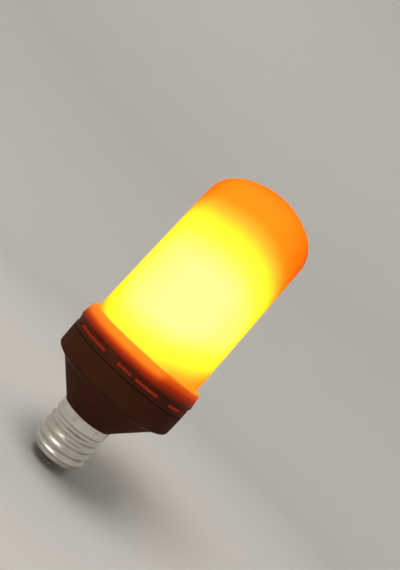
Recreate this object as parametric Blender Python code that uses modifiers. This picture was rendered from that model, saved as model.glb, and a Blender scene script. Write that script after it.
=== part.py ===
"""Flame effect LED bulb with an E27 screw cap.

The lamp stands upright on its axis, +Z from the cap to the dome, with the origin on the flat end
of the centre contact. Angles round the lamp are counted from the front (-Y) towards +X.

From the bottom up it holds a screw cap, a conical housing with the driver board in its neck, a
ring of vents, a base plate that carries the LED cylinder, and the frosted diffuser over all of it.
"""

import math

import bpy
import bmesh
from mathutils import Matrix, Vector

# Gap that a piece keeps to the piece it sits on or in
SEAT_GAP = 0.0003

# Centre contact, a rivet in the insulator
CONTACT_RADIUS = 0.0046
CONTACT_THICKNESS = 0.0012
CONTACT_EDGE = 0.0006
CONTACT_STEM_RADIUS = 0.0011
CONTACT_STEM_LENGTH = 0.0056

# Insulator between the contact and the shell
INSULATOR_FACE_MARGIN = 0.0006
INSULATOR_CONE_HEIGHT = 0.0022
INSULATOR_EDGE_HEIGHT = 0.0003
INSULATOR_EDGE_STEP = 0.0006
INSULATOR_PLUG_STEP = 0.0014
INSULATOR_PLUG_HEIGHT = 0.0022

# Screw shell with the E27 knuckle thread
SHELL_WALL = 0.0004
SHELL_BOTTOM_ROUND = 0.0018
SHELL_LIP = 0.00115
THREAD_CREST_RADIUS = 0.0132
THREAD_DEPTH = 0.00095
THREAD_PITCH = 0.00363
THREAD_RUN_IN = 0.0015
THREAD_LENGTH = 0.0156
SHELL_BAND_HEIGHT = 0.0039
CRIMP_COUNT = 7
CRIMP_DEPTH = 0.0007

# Conical housing
NECK_OVERHANG = 0.0004
NECK_ROUND = 0.0007
CONE_ANGLE = math.radians(46.3)
SHOULDER_WIDTH = 0.00545
SHOULDER_ANGLE = math.radians(28)
RIM_CORNER = 0.0019
RIM_HEIGHT = 0.0121
RIM_DRAFT = math.radians(2.7)
HOUSING_WALL = 0.0022
SPIGOT_WALL = 0.0015
SPIGOT_LENGTH = 0.0140
TONGUE_HEIGHT = 0.0019
TONGUE_WALL = 0.0011
SNAP_HEIGHT = 0.0003

# Ring of vents that holds the diffuser on the housing
COLLAR_WALL = 0.0015
COLLAR_HEIGHT = 0.0125
COLLAR_BEAD = 0.00055
COLLAR_BEAD_AT = 0.0051
COLLAR_TAPER = 0.0002
COLLAR_TOP_ROUND = 0.0017
COLLAR_LIP = 0.0033
SLOT_COUNT = 7
SLOT_SPAN = math.radians(39.2)
SLOT_TURN = math.radians(9.8)
SLOT_HEIGHT = 0.0012
SLOT_ABOVE_SEAM = 0.00285
BRIDGE_ANGLE = math.radians(5.3)
BRIDGE_SPAN = math.radians(3.6)

# Frosted diffuser
DIFFUSER_RADIUS = 0.02936
DIFFUSER_WALL = 0.0012
DIFFUSER_DRAFT = math.radians(0.17)
DIFFUSER_STRAIGHT = 0.0735
DOME_CORNER = 0.0152
DOME_CROWN = 0.03905
FOOT_FLANGE = 0.00104
FOOT_THICKNESS = 0.0020

# Base plate and its screws
PLATE_THICKNESS = 0.0016
PLATE_HOLE_RADIUS = 0.0060
PLATE_RING_HEIGHT = 0.0030
PLATE_RING_WALL = 0.0015
POST_FROM_WALL = 0.0015
POST_RADIUS = 0.0028
POST_COUNT = 3
POST_TURN = math.radians(40)
SCREW_HEAD_RADIUS = 0.0022
SCREW_HEAD_HEIGHT = 0.0014
SCREW_SHANK_RADIUS = 0.0009
SCREW_LENGTH = 0.0080

# LED cylinder
LIGHT_GAP = 0.00986
TUBE_WALL = 0.0015
TUBE_PAST_FLEX = 0.0011
TUBE_CAP_THICKNESS = 0.0015
TUBE_CAP_PLUG = 0.0030
FLEX_THICKNESS = 0.0004
FLEX_HEIGHT = 0.0665
FLEX_SEAM = 0.0010
LED_COLUMNS = 11
LED_ROWS = 9
LED_MARGIN = 0.0048
LED_WIDTH = 0.0028
LED_LENGTH = 0.0035
LED_STANDS_OUT = 0.0008
TAIL_WIDTH = 0.0080
TAIL_REACH = 0.0045
TAIL_ABOVE_EDGE = 0.0008

# Controller board inside the LED cylinder
CONTROLLER_INSET = 0.0002
CONTROLLER_THICKNESS = 0.0010
CHIP_SIZE = (0.0060, 0.0050, 0.0015)
CHIP_AT = (-0.0045, 0.0050)
SENSOR_RADIUS = 0.0022
SENSOR_HEIGHT = 0.0050
SENSOR_AT = (-0.0050, -0.0060)
CONNECTOR_SIZE = (0.0040, 0.0090, 0.0032)

# Driver board in the neck, with what is soldered to it
BOARD_THICKNESS = 0.0012
BOARD_SIDE_GAP = 0.00105
BOARD_TONGUE_LENGTH = 0.0183
BOARD_HALF_WIDTH = 0.0170
BOARD_TOP_LENGTH = 0.0175
RAIL_DEPTH = 0.0016
RAIL_WIDTH = 0.0010
BULK_CAP_RADIUS = 0.0050
BULK_CAP_LENGTH = 0.0140
OUTPUT_CAP_RADIUS = 0.0035
OUTPUT_CAP_LENGTH = 0.0090
INDUCTOR_RADIUS = 0.0048
INDUCTOR_HEIGHT = 0.0080
INDUCTOR_WINDING = 0.0008
BRIDGE_SIZE = (0.0064, 0.0026, 0.0047)
DRIVER_CHIP_SIZE = (0.0050, 0.0016, 0.0040)
FILM_CAP_SIZE = (0.0080, 0.0042, 0.0075)
RESISTOR_RADIUS = 0.0016
RESISTOR_LENGTH = 0.0062
WIRE_RADIUS = 0.0005

# Facets round each kind of piece
BODY_FACETS = 40
SHELL_FACETS = 4 * CRIMP_COUNT
LED_FACETS = 3 * LED_COLUMNS
SMALL_FACETS = 12
OUTER_ROWS_PER_TURN = 5
INNER_ROWS_PER_TURN = 4
MERGE = 0.00001
SMOOTH_ANGLE = math.radians(32)
CUTTER_MARGIN = 0.002

# Radii that follow from the sizes above, from the cap outwards
HOLE_CLEARANCE = 0.0003
SCREW_HOLE_RADIUS = SCREW_SHANK_RADIUS + HOLE_CLEARANCE
THREAD_ROOT_RADIUS = THREAD_CREST_RADIUS - THREAD_DEPTH
SHELL_BORE = THREAD_ROOT_RADIUS - SHELL_WALL
SHELL_LIP_RADIUS = THREAD_ROOT_RADIUS - SHELL_BOTTOM_ROUND - SHELL_LIP
INSULATOR_FACE_RADIUS = CONTACT_RADIUS + INSULATOR_FACE_MARGIN
INSULATOR_WAIST_RADIUS = SHELL_LIP_RADIUS - SEAT_GAP
INSULATOR_RADIUS = INSULATOR_WAIST_RADIUS + INSULATOR_EDGE_STEP
INSULATOR_PLUG_RADIUS = INSULATOR_WAIST_RADIUS + INSULATOR_PLUG_STEP
SPIGOT_RADIUS = SHELL_BORE - SEAT_GAP
SPIGOT_BORE = SPIGOT_RADIUS - SPIGOT_WALL
BOARD_TONGUE_HALF = SPIGOT_BORE - BOARD_SIDE_GAP
NECK_RADIUS = THREAD_CREST_RADIUS + NECK_OVERHANG
FOOT_RADIUS = DIFFUSER_RADIUS + FOOT_FLANGE
PLATE_RADIUS = FOOT_RADIUS
COLLAR_BORE = FOOT_RADIUS + SEAT_GAP
COLLAR_RADIUS = COLLAR_BORE + COLLAR_WALL
COLLAR_TOP_RADIUS = COLLAR_RADIUS - COLLAR_TAPER
COLLAR_LIP_BORE = DIFFUSER_RADIUS + SEAT_GAP
RIM_RADIUS = COLLAR_RADIUS
CONE_TOP_RADIUS = RIM_RADIUS - SHOULDER_WIDTH
TONGUE_RADIUS = COLLAR_BORE - SEAT_GAP
TONGUE_BORE = TONGUE_RADIUS - TONGUE_WALL
POST_CIRCLE_RADIUS = TONGUE_BORE - POST_FROM_WALL - POST_RADIUS
TUBE_RADIUS = DIFFUSER_RADIUS - DIFFUSER_WALL - LIGHT_GAP
TUBE_BORE = TUBE_RADIUS - TUBE_WALL
PLATE_RING_RADIUS = TUBE_BORE - SEAT_GAP
CONTROLLER_RADIUS = PLATE_RING_RADIUS - CONTROLLER_INSET
FLEX_BORE = TUBE_RADIUS + SEAT_GAP
FLEX_RADIUS = FLEX_BORE + FLEX_THICKNESS

# Heights that follow from the sizes above, from the contact up
INSULATOR_FACE = CONTACT_THICKNESS + SEAT_GAP
INSULATOR_EDGE = INSULATOR_FACE + INSULATOR_CONE_HEIGHT
SHELL_FOOT = INSULATOR_EDGE + INSULATOR_EDGE_HEIGHT + SEAT_GAP
THREAD_FOOT = SHELL_FOOT + SHELL_BOTTOM_ROUND
THREAD_TOP = THREAD_FOOT + THREAD_LENGTH
CRIMP_MIDDLE = THREAD_TOP + SHELL_BAND_HEIGHT / 2
SHELL_TOP = THREAD_TOP + SHELL_BAND_HEIGHT
NECK = SHELL_TOP + SEAT_GAP
SPIGOT_FOOT = NECK - SPIGOT_LENGTH
CONE_TOP = NECK + (CONE_TOP_RADIUS - NECK_RADIUS) * math.tan(CONE_ANGLE)
SEAM = CONE_TOP + RIM_HEIGHT
SNAP_MIDDLE = SEAM + TONGUE_HEIGHT / 2
TONGUE_TOP = SEAM + TONGUE_HEIGHT
COLLAR_FOOT = SEAM + SEAT_GAP
SLOT_MIDDLE = SEAM + SLOT_ABOVE_SEAM
BEAD_MIDDLE = COLLAR_FOOT + COLLAR_BEAD_AT
COLLAR_TOP = COLLAR_FOOT + COLLAR_HEIGHT
LIP_UNDERSIDE = COLLAR_TOP - COLLAR_LIP
FOOT_TOP = LIP_UNDERSIDE - SEAT_GAP
FOOT_BOTTOM = FOOT_TOP - FOOT_THICKNESS
PLATE_TOP = FOOT_BOTTOM - SEAT_GAP
PLATE_BOTTOM = PLATE_TOP - PLATE_THICKNESS
PLATE_RING_TOP = PLATE_TOP + PLATE_RING_HEIGHT
POST_TOP = PLATE_BOTTOM - SEAT_GAP
CONTROLLER_FOOT = PLATE_RING_TOP + SEAT_GAP
CONTROLLER_TOP = CONTROLLER_FOOT + CONTROLLER_THICKNESS
CONTROLLER_SEAT = CONTROLLER_TOP + SEAT_GAP
TAIL_MIDDLE = CONTROLLER_SEAT + CONNECTOR_SIZE[2] / 2
FLEX_FOOT = TAIL_MIDDLE - FLEX_THICKNESS / 2 - TAIL_ABOVE_EDGE
FLEX_TOP = FLEX_FOOT + FLEX_HEIGHT
TUBE_FOOT = PLATE_TOP + SEAT_GAP
TUBE_TOP = FLEX_TOP + TUBE_PAST_FLEX
DOME_FOOT = COLLAR_TOP + DIFFUSER_STRAIGHT

parts = None
cutters = None


def start_scene():
    """Empties the scene and makes the collections for the lamp's pieces and for the cutters."""
    global parts, cutters
    for old in list(bpy.data.objects):
        bpy.data.objects.remove(old)
    parts = bpy.data.collections.new("flame_bulb")
    cutters = bpy.data.collections.new("cutters")
    for collection in (parts, cutters):
        bpy.context.scene.collection.children.link(collection)


def finish(name, colour, roughness, metallic=0.0):
    """A plain Principled material."""
    made = bpy.data.materials.new(name)
    made.use_nodes = True
    shader = made.node_tree.nodes["Principled BSDF"]
    shader.inputs["Base Color"].default_value = (*colour, 1.0)
    shader.inputs["Roughness"].default_value = roughness
    shader.inputs["Metallic"].default_value = metallic
    return made


def new_object(name, data, collection=None):
    """An object in the lamp's collection, or in the one given."""
    made = bpy.data.objects.new(name, data)
    (collection or parts).objects.link(made)
    return made


def as_cutter(obj):
    """Hides a helper solid from renders and keeps it out of the lamp."""
    obj.hide_render = True
    obj.display_type = "WIRE"
    return obj


def bake(obj):
    """Puts the object's modifiers into its mesh."""
    bpy.context.view_layer.update()
    graph = bpy.context.evaluated_depsgraph_get()
    mesh = bpy.data.meshes.new_from_object(obj.evaluated_get(graph))
    mesh.name = obj.name
    obj.modifiers.clear()
    obj.data = mesh
    return obj


def dress(obj, material):
    """Smooth shading with sharp edges where the form has them, and the piece's material."""
    mesh = obj.data
    mesh.shade_smooth()
    mesh.set_sharp_from_angle(angle=SMOOTH_ANGLE)
    mesh.materials.clear()
    mesh.materials.append(material)
    return obj


def combine(obj, other, operation):
    """Cuts, joins or intersects the object with another and bakes the result."""
    change = obj.modifiers.new(operation.title(), "BOOLEAN")
    change.operation = operation
    change.solver = "EXACT"
    change.object = other
    bake(obj)
    bpy.data.objects.remove(other)
    return obj


def arc(centre, radius, start, end, steps):
    """Points of an arc in a section, centre in (radius, height), from one angle to another."""
    angles = [start + (end - start) * i / steps for i in range(steps + 1)]
    return [
        (centre[0] + radius * math.cos(a), centre[1] + radius * math.sin(a)) for a in angles
    ]


def turned(name, section, facets, closed=True, turn=0.0, collection=None):
    """A solid of revolution about Z.

    The section is a list of (radius, height) that runs down its outer side. A closed section is a
    ring. An open one starts and ends on the axis.
    """
    points = [
        (r * math.cos(turn), r * math.sin(turn), z) for r, z in section
    ]
    edges = [(i, i + 1) for i in range(len(points) - 1)]
    if closed:
        edges.append((len(points) - 1, 0))
    mesh = bpy.data.meshes.new(name)
    mesh.from_pydata(points, edges, [])
    made = new_object(name, mesh, collection)
    spin = made.modifiers.new("Turned", "SCREW")
    spin.steps = spin.render_steps = facets
    spin.use_merge_vertices = True
    spin.merge_threshold = MERGE
    return bake(made)


def block(name, size, centre, angle=0.0, collection=None):
    """A box with its centre at a point, turned about Z."""
    shape = bmesh.new()
    bmesh.ops.create_cube(shape, size=1.0)
    bmesh.ops.scale(shape, vec=Vector(size), verts=shape.verts)
    mesh = bpy.data.meshes.new(name)
    shape.to_mesh(mesh)
    shape.free()
    made = new_object(name, mesh, collection)
    mesh.transform(Matrix.Translation(centre) @ Matrix.Rotation(angle, 4, "Z"))
    return made


def cylinder(name, radius, low, high, x, y, collection=None):
    """An upright cylinder between two heights."""
    shape = bmesh.new()
    bmesh.ops.create_cone(
        shape,
        cap_ends=True,
        segments=SMALL_FACETS,
        radius1=radius,
        radius2=radius,
        depth=high - low,
    )
    mesh = bpy.data.meshes.new(name)
    shape.to_mesh(mesh)
    shape.free()
    mesh.transform(Matrix.Translation((x, y, (low + high) / 2)))
    return new_object(name, mesh, collection)


def merged(name, pieces, collection=None):
    """Several separate solids as one object, to be cut or joined in one step."""
    shape = bmesh.new()
    for piece in pieces:
        shape.from_mesh(piece.data)
        bpy.data.objects.remove(piece)
    mesh = bpy.data.meshes.new(name)
    shape.to_mesh(mesh)
    shape.free()
    return new_object(name, mesh, collection)


def around(angle, radius):
    """The point at an angle from the front (-Y) towards +X, at a radius from the axis."""
    return radius * math.sin(angle), -radius * math.cos(angle)


def smoothstep(value):
    """0 below 0, 1 above 1, and a soft rise between."""
    t = min(max(value, 0.0), 1.0)
    return t * t * (3 - 2 * t)


def make_contact(metal):
    """The rivet in the middle of the insulator: a flat head with a rounded edge, and its stem."""
    top = CONTACT_THICKNESS + CONTACT_STEM_LENGTH
    edge = arc(
        (CONTACT_RADIUS - CONTACT_EDGE, CONTACT_EDGE), CONTACT_EDGE, 0.0, -math.pi / 2, 3
    )
    section = [
        (0.0, top),
        (CONTACT_STEM_RADIUS, top),
        (CONTACT_STEM_RADIUS, CONTACT_THICKNESS),
        (CONTACT_RADIUS, CONTACT_THICKNESS),
        *edge,
        (0.0, 0.0),
    ]
    dress(turned("centre_contact", section, SMALL_FACETS, closed=False), metal)


def make_insulator(plastic):
    """The insulating cone under the shell, with the waist that the shell's lip grips."""
    hole = CONTACT_STEM_RADIUS + HOLE_CLEARANCE
    lip_top = SHELL_FOOT + SHELL_WALL + SEAT_GAP
    top = lip_top + INSULATOR_PLUG_HEIGHT
    edge_top = INSULATOR_EDGE + INSULATOR_EDGE_HEIGHT
    section = [
        (INSULATOR_PLUG_RADIUS, top),
        (INSULATOR_PLUG_RADIUS, lip_top),
        (INSULATOR_WAIST_RADIUS, lip_top),
        (INSULATOR_WAIST_RADIUS, edge_top),
        (INSULATOR_RADIUS, edge_top),
        (INSULATOR_RADIUS, INSULATOR_EDGE),
        (INSULATOR_FACE_RADIUS, INSULATOR_FACE),
        (hole, INSULATOR_FACE),
        (hole, top),
    ]
    dress(turned("cap_insulator", section, SHELL_FACETS), plastic)


def thread_rise(x, y, z):
    """How far the rolled thread stands out of its root, as a share of its depth, at a point.

    The knuckle thread is a cosine wave along the axis that moves up one pitch a turn. It runs out
    to nothing at the foot, and at the top it rises into the plain band.
    """
    turn = math.atan2(y, x) / (2 * math.pi)
    wave = 0.5 - 0.5 * math.cos(2 * math.pi * ((z - THREAD_FOOT) / THREAD_PITCH - turn))
    run_in = smoothstep((z - THREAD_FOOT) / THREAD_RUN_IN)
    band = smoothstep((z - THREAD_TOP + THREAD_RUN_IN) / THREAD_RUN_IN)
    return max(wave * run_in, band)


def crimp_dent(x, y, z):
    """How deep the crimp marks in the band are pressed in at a point."""
    if abs(z - CRIMP_MIDDLE) > MERGE:
        return 0.0
    facets_between = SHELL_FACETS / CRIMP_COUNT
    facet = math.atan2(y, x) / (2 * math.pi) * SHELL_FACETS
    away = abs(facet / facets_between - round(facet / facets_between)) * facets_between
    return CRIMP_DEPTH if away < 0.5 else 0.0


def thread_rows(per_turn):
    """Heights from the thread's top to its foot, so many to a turn."""
    rows = math.ceil(THREAD_LENGTH / THREAD_PITCH * per_turn)
    return [THREAD_TOP - THREAD_LENGTH * i / rows for i in range(rows + 1)]


def make_screw_shell(metal):
    """The thin rolled shell. Its section is turned plain, then its points are moved out by the thread."""
    band = [SHELL_TOP, CRIMP_MIDDLE + CRIMP_DEPTH, CRIMP_MIDDLE, CRIMP_MIDDLE - CRIMP_DEPTH]
    centre = (THREAD_ROOT_RADIUS - SHELL_BOTTOM_ROUND, THREAD_FOOT)
    outside = [(THREAD_ROOT_RADIUS, z) for z in band + thread_rows(OUTER_ROWS_PER_TURN)]
    outside += arc(centre, SHELL_BOTTOM_ROUND, 0.0, -math.pi / 2, 4)[1:]
    outside.append((SHELL_LIP_RADIUS, SHELL_FOOT))
    inside = [(SHELL_BORE, z) for z in band + thread_rows(INNER_ROWS_PER_TURN)]
    inside += arc(centre, SHELL_BOTTOM_ROUND - SHELL_WALL, 0.0, -math.pi / 2, 3)[1:]
    inside.append((SHELL_LIP_RADIUS, SHELL_FOOT + SHELL_WALL))
    shell = turned("screw_shell", outside + inside[::-1], SHELL_FACETS)
    for vertex in shell.data.vertices:
        x, y, z = vertex.co
        radius = math.hypot(x, y)
        if z < THREAD_FOOT - MERGE:
            continue
        moved = radius + THREAD_DEPTH * thread_rise(x, y, z) - crimp_dent(x, y, z)
        vertex.co.x *= moved / radius
        vertex.co.y *= moved / radius
    dress(shell, metal)


def crossing(first_out, first_at, second_out, second_at):
    """The point of a section where two lines cross, each given by its normal and its offset."""
    return Matrix((first_out, second_out)).inverted() @ Vector((first_at, second_at))


def housing_line(inset):
    """The housing's rim, corner, shoulder and cone as one line, moved in from the outer face.

    Returns the points from the rim's top down to the crease between shoulder and cone, and the
    height of the cone at a radius, as a function.
    """
    crease = Vector((CONE_TOP_RADIUS, CONE_TOP))
    rim_top = Vector((RIM_RADIUS, SEAM))
    rim_out = Vector((math.cos(RIM_DRAFT), -math.sin(RIM_DRAFT)))
    shoulder_out = Vector((math.sin(SHOULDER_ANGLE), -math.cos(SHOULDER_ANGLE)))
    cone_out = Vector((math.sin(CONE_ANGLE), -math.cos(CONE_ANGLE)))
    corner_centre = crossing(
        rim_out,
        rim_top.dot(rim_out) - RIM_CORNER,
        shoulder_out,
        crease.dot(shoulder_out) - RIM_CORNER,
    )
    # Where the wall is thicker than the corner is round, its inner faces meet at an edge
    if inset < RIM_CORNER:
        corner = arc(
            corner_centre,
            RIM_CORNER - inset,
            -RIM_DRAFT,
            SHOULDER_ANGLE - math.pi / 2,
            4,
        )
    else:
        edge = crossing(
            rim_out,
            rim_top.dot(rim_out) - inset,
            shoulder_out,
            crease.dot(shoulder_out) - inset,
        )
        corner = [tuple(edge)]
    # The two faces, each moved in by the inset, cross at the new crease
    moved = crossing(
        shoulder_out,
        crease.dot(shoulder_out) - inset,
        cone_out,
        crease.dot(cone_out) - inset,
    )

    def cone_height(radius):
        return moved.y + (radius - moved.x) * math.tan(CONE_ANGLE)

    return [(RIM_RADIUS - inset, SEAM), *corner, tuple(moved)], cone_height


def make_posts():
    """The screw posts in the housing, each with its pilot hole, cut off inside the wall."""
    low = NECK
    posts = merged(
        "posts",
        [
            cylinder("post", POST_RADIUS, low, POST_TOP, *around(post_angle(i), POST_CIRCLE_RADIUS))
            for i in range(POST_COUNT)
        ],
        cutters,
    )
    line, cone_height = housing_line(HOUSING_WALL / 2)
    envelope = turned(
        "envelope",
        [
            (0.0, POST_TOP + CUTTER_MARGIN),
            (TONGUE_BORE, POST_TOP + CUTTER_MARGIN),
            (TONGUE_BORE, SEAM),
        ]
        + line[1:]
        + [(0.0, cone_height(0.0))],
        BODY_FACETS,
        closed=False,
        collection=cutters,
    )
    combine(posts, envelope, "INTERSECT")
    holes = merged(
        "pilot_holes",
        [
            cylinder(
                "pilot_hole",
                SCREW_HOLE_RADIUS,
                PLATE_TOP - SCREW_LENGTH - SEAT_GAP,
                POST_TOP + CUTTER_MARGIN,
                *around(post_angle(i), POST_CIRCLE_RADIUS),
            )
            for i in range(POST_COUNT)
        ],
        cutters,
    )
    return posts, holes


def post_angle(index):
    """Where a screw post stands round the lamp."""
    return POST_TURN + 2 * math.pi * index / POST_COUNT


def make_rails():
    """Two pairs of rails in the neck, which hold the driver board by its edges."""
    reach = SPIGOT_BORE - BOARD_TONGUE_HALF + RAIL_DEPTH + SPIGOT_WALL / 2
    x = BOARD_TONGUE_HALF - RAIL_DEPTH + reach / 2
    y = BOARD_THICKNESS / 2 + SEAT_GAP + RAIL_WIDTH / 2
    low = SPIGOT_FOOT + SPIGOT_WALL
    high = NECK
    rails = [
        block(
            "rail",
            (reach, RAIL_WIDTH, high - low),
            (side * x, face * y, (low + high) / 2),
            collection=cutters,
        )
        for side in (-1, 1)
        for face in (-1, 1)
    ]
    return merged("rails", rails, cutters)


def make_housing(plastic):
    """The conical housing with its spigot in the cap, its snap tongue, rails and screw posts."""
    outer, _ = housing_line(0.0)
    inner, inner_cone = housing_line(HOUSING_WALL)
    neck_edge = arc(
        (NECK_RADIUS - NECK_ROUND, NECK + NECK_ROUND), NECK_ROUND, -CONE_ANGLE, -math.pi / 2, 2
    )
    tongue = [
        (TONGUE_BORE, TONGUE_TOP),
        (TONGUE_RADIUS, TONGUE_TOP),
        (TONGUE_RADIUS, SNAP_MIDDLE + SNAP_HEIGHT),
        (TONGUE_RADIUS + SNAP_HEIGHT, SNAP_MIDDLE),
        (TONGUE_RADIUS, SNAP_MIDDLE - SNAP_HEIGHT),
        (TONGUE_RADIUS, SEAM),
    ]
    spigot = [
        (SPIGOT_RADIUS, NECK),
        (SPIGOT_RADIUS, SPIGOT_FOOT),
        (SPIGOT_BORE, SPIGOT_FOOT),
        (SPIGOT_BORE, inner_cone(SPIGOT_BORE)),
    ]
    section = tongue + outer + neck_edge + spigot + inner[:0:-1]
    housing = turned("lower_housing", section, BODY_FACETS)
    posts, holes = make_posts()
    combine(housing, posts, "UNION")
    combine(housing, make_rails(), "UNION")
    combine(housing, holes, "DIFFERENCE")
    dress(housing, plastic)


def slot_spans():
    """The vents, as pairs of angles. The front one has a bridge across it."""
    spans = []
    for i in range(SLOT_COUNT):
        middle = SLOT_TURN + 2 * math.pi * i / SLOT_COUNT
        low = middle - SLOT_SPAN / 2
        high = middle + SLOT_SPAN / 2
        if low < BRIDGE_ANGLE < high:
            spans.append((low, BRIDGE_ANGLE - BRIDGE_SPAN / 2))
            spans.append((BRIDGE_ANGLE + BRIDGE_SPAN / 2, high))
        else:
            spans.append((low, high))
    return spans


def make_collar(plastic):
    """The ring of vents: a skirt round the housing's tongue and a rolled lip over the diffuser's foot."""
    top_round = min(COLLAR_TOP_ROUND, COLLAR_TOP_RADIUS - COLLAR_LIP_BORE - MERGE)
    top_edge = arc(
        (COLLAR_TOP_RADIUS - top_round, COLLAR_TOP - top_round), top_round, math.pi / 2, 0.0, 5
    )
    section = [
        (COLLAR_LIP_BORE, COLLAR_TOP),
        *top_edge,
        (COLLAR_RADIUS + COLLAR_BEAD, BEAD_MIDDLE + COLLAR_BEAD),
        (COLLAR_RADIUS + COLLAR_BEAD, BEAD_MIDDLE),
        (COLLAR_RADIUS, BEAD_MIDDLE - COLLAR_BEAD / 2),
        (COLLAR_RADIUS, COLLAR_FOOT),
        (COLLAR_BORE, COLLAR_FOOT),
        (COLLAR_BORE, SNAP_MIDDLE - SNAP_HEIGHT),
        (COLLAR_BORE + SNAP_HEIGHT, SNAP_MIDDLE),
        (COLLAR_BORE, SNAP_MIDDLE + SNAP_HEIGHT),
        (COLLAR_BORE, LIP_UNDERSIDE),
        (COLLAR_LIP_BORE, LIP_UNDERSIDE),
    ]
    collar = turned("vent_collar", section, BODY_FACETS)
    boxes = []
    for low, high in slot_spans():
        middle = (low + high) / 2
        width = 2 * COLLAR_RADIUS * math.sin((high - low) / 2)
        depth = 2 * (COLLAR_WALL + CUTTER_MARGIN)
        inside = COLLAR_RADIUS * math.cos((high - low) / 2) - COLLAR_WALL
        reach = COLLAR_RADIUS + COLLAR_BEAD - inside + depth
        x, y = around(middle, inside - depth / 2 + reach / 2)
        size = (width, reach, SLOT_HEIGHT)
        boxes.append(block("slot", size, (x, y, SLOT_MIDDLE), middle, cutters))
    combine(collar, merged("slots", boxes, cutters), "DIFFERENCE")
    dress(collar, plastic)


def dome_line(inset, corner_steps, crown_steps):
    """The diffuser's dome, from the axis down to the top of its wall: a crown, then a corner arc."""
    wall_top = DIFFUSER_RADIUS - DIFFUSER_STRAIGHT * math.tan(DIFFUSER_DRAFT)
    corner_x = wall_top - DOME_CORNER
    between = DOME_CROWN - DOME_CORNER
    drop = math.sqrt(between**2 - corner_x**2)
    crown_centre = (0.0, DOME_FOOT - drop)
    meet = math.atan2(drop, corner_x)
    crown = arc(crown_centre, DOME_CROWN - inset, math.pi / 2, meet, crown_steps)
    corner = arc((corner_x, DOME_FOOT), DOME_CORNER - inset, meet, 0.0, corner_steps)
    return [(0.0, crown[0][1]), *crown[1:], *corner[1:]]


def make_diffuser(frosted):
    """The frosted cover: a drafted wall with a foot under the collar's lip, and a domed end."""
    outer = dome_line(0.0, 6, 4)
    inner = dome_line(DIFFUSER_WALL, 4, 3)
    section = [
        *outer,
        (DIFFUSER_RADIUS, COLLAR_TOP),
        (DIFFUSER_RADIUS, FOOT_TOP),
        (FOOT_RADIUS, FOOT_TOP),
        (FOOT_RADIUS, FOOT_BOTTOM),
        (DIFFUSER_RADIUS - DIFFUSER_WALL, FOOT_BOTTOM),
        *inner[::-1],
    ]
    dress(turned("diffuser", section, BODY_FACETS, closed=False), frosted)


def make_base_plate(plastic):
    """The plate on the screw posts, with the ring that centres the LED cylinder."""
    ring_bore = PLATE_RING_RADIUS - PLATE_RING_WALL
    section = [
        (ring_bore, PLATE_RING_TOP),
        (PLATE_RING_RADIUS, PLATE_RING_TOP),
        (PLATE_RING_RADIUS, PLATE_TOP),
        (PLATE_RADIUS, PLATE_TOP),
        (PLATE_RADIUS, PLATE_BOTTOM),
        (PLATE_HOLE_RADIUS, PLATE_BOTTOM),
        (PLATE_HOLE_RADIUS, PLATE_TOP),
        (ring_bore, PLATE_TOP),
    ]
    plate = turned("base_plate", section, BODY_FACETS)
    holes = [
        cylinder(
            "screw_hole",
            SCREW_HOLE_RADIUS,
            PLATE_BOTTOM - CUTTER_MARGIN,
            PLATE_TOP + CUTTER_MARGIN,
            *around(post_angle(i), POST_CIRCLE_RADIUS),
        )
        for i in range(POST_COUNT)
    ]
    combine(plate, merged("screw_holes", holes, cutters), "DIFFERENCE")
    dress(plate, plastic)


def make_plate_screws(metal):
    """The pan-head screws that hold the base plate down."""
    seat = PLATE_TOP + SEAT_GAP
    head = arc(
        (SCREW_HEAD_RADIUS - SCREW_HEAD_HEIGHT / 2, seat + SCREW_HEAD_HEIGHT / 2),
        SCREW_HEAD_HEIGHT / 2,
        math.pi / 2,
        0.0,
        3,
    )
    section = [
        (0.0, seat + SCREW_HEAD_HEIGHT),
        *head,
        (SCREW_HEAD_RADIUS, seat),
        (SCREW_SHANK_RADIUS, seat),
        (SCREW_SHANK_RADIUS, PLATE_TOP - SCREW_LENGTH + SCREW_SHANK_RADIUS),
        (0.0, PLATE_TOP - SCREW_LENGTH),
    ]
    for i in range(POST_COUNT):
        screw = turned(f"plate_screw_{i + 1}", section, SMALL_FACETS, closed=False)
        screw.location = (*around(post_angle(i), POST_CIRCLE_RADIUS), 0.0)
        dress(screw, metal)


def make_tube(plastic):
    """The plain tube that the LED board is wrapped on, with a window for the board's tail."""
    section = [
        (TUBE_BORE, TUBE_TOP),
        (TUBE_RADIUS, TUBE_TOP),
        (TUBE_RADIUS, TUBE_FOOT),
        (TUBE_BORE, TUBE_FOOT),
    ]
    tube = turned("led_core_tube", section, LED_FACETS, turn=flex_turn())
    window = block(
        "tail_window",
        (
            2 * (TUBE_WALL + CUTTER_MARGIN),
            TAIL_WIDTH + 2 * SEAT_GAP,
            FLEX_THICKNESS + 2 * SEAT_GAP,
        ),
        (TUBE_RADIUS - TUBE_WALL / 2, 0.0, TAIL_MIDDLE),
        collection=cutters,
    )
    combine(tube, window, "DIFFERENCE")
    dress(tube, plastic)


def make_tube_cap(plastic):
    """The cap in the top of the LED tube."""
    low = TUBE_TOP + SEAT_GAP
    plug = TUBE_BORE - SEAT_GAP
    section = [
        (0.0, low + TUBE_CAP_THICKNESS),
        (TUBE_RADIUS, low + TUBE_CAP_THICKNESS),
        (TUBE_RADIUS, low),
        (plug, low),
        (plug, low - TUBE_CAP_PLUG),
        (plug - TUBE_WALL, low - TUBE_CAP_PLUG),
        (plug - TUBE_WALL, low),
        (0.0, low),
    ]
    dress(turned("core_top_cap", section, LED_FACETS, closed=False), plastic)


def flex_turn():
    """Turns the LED cylinder so that the middle of a facet, with its LEDs, faces the front."""
    return math.pi / LED_FACETS - math.pi / 2


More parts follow.
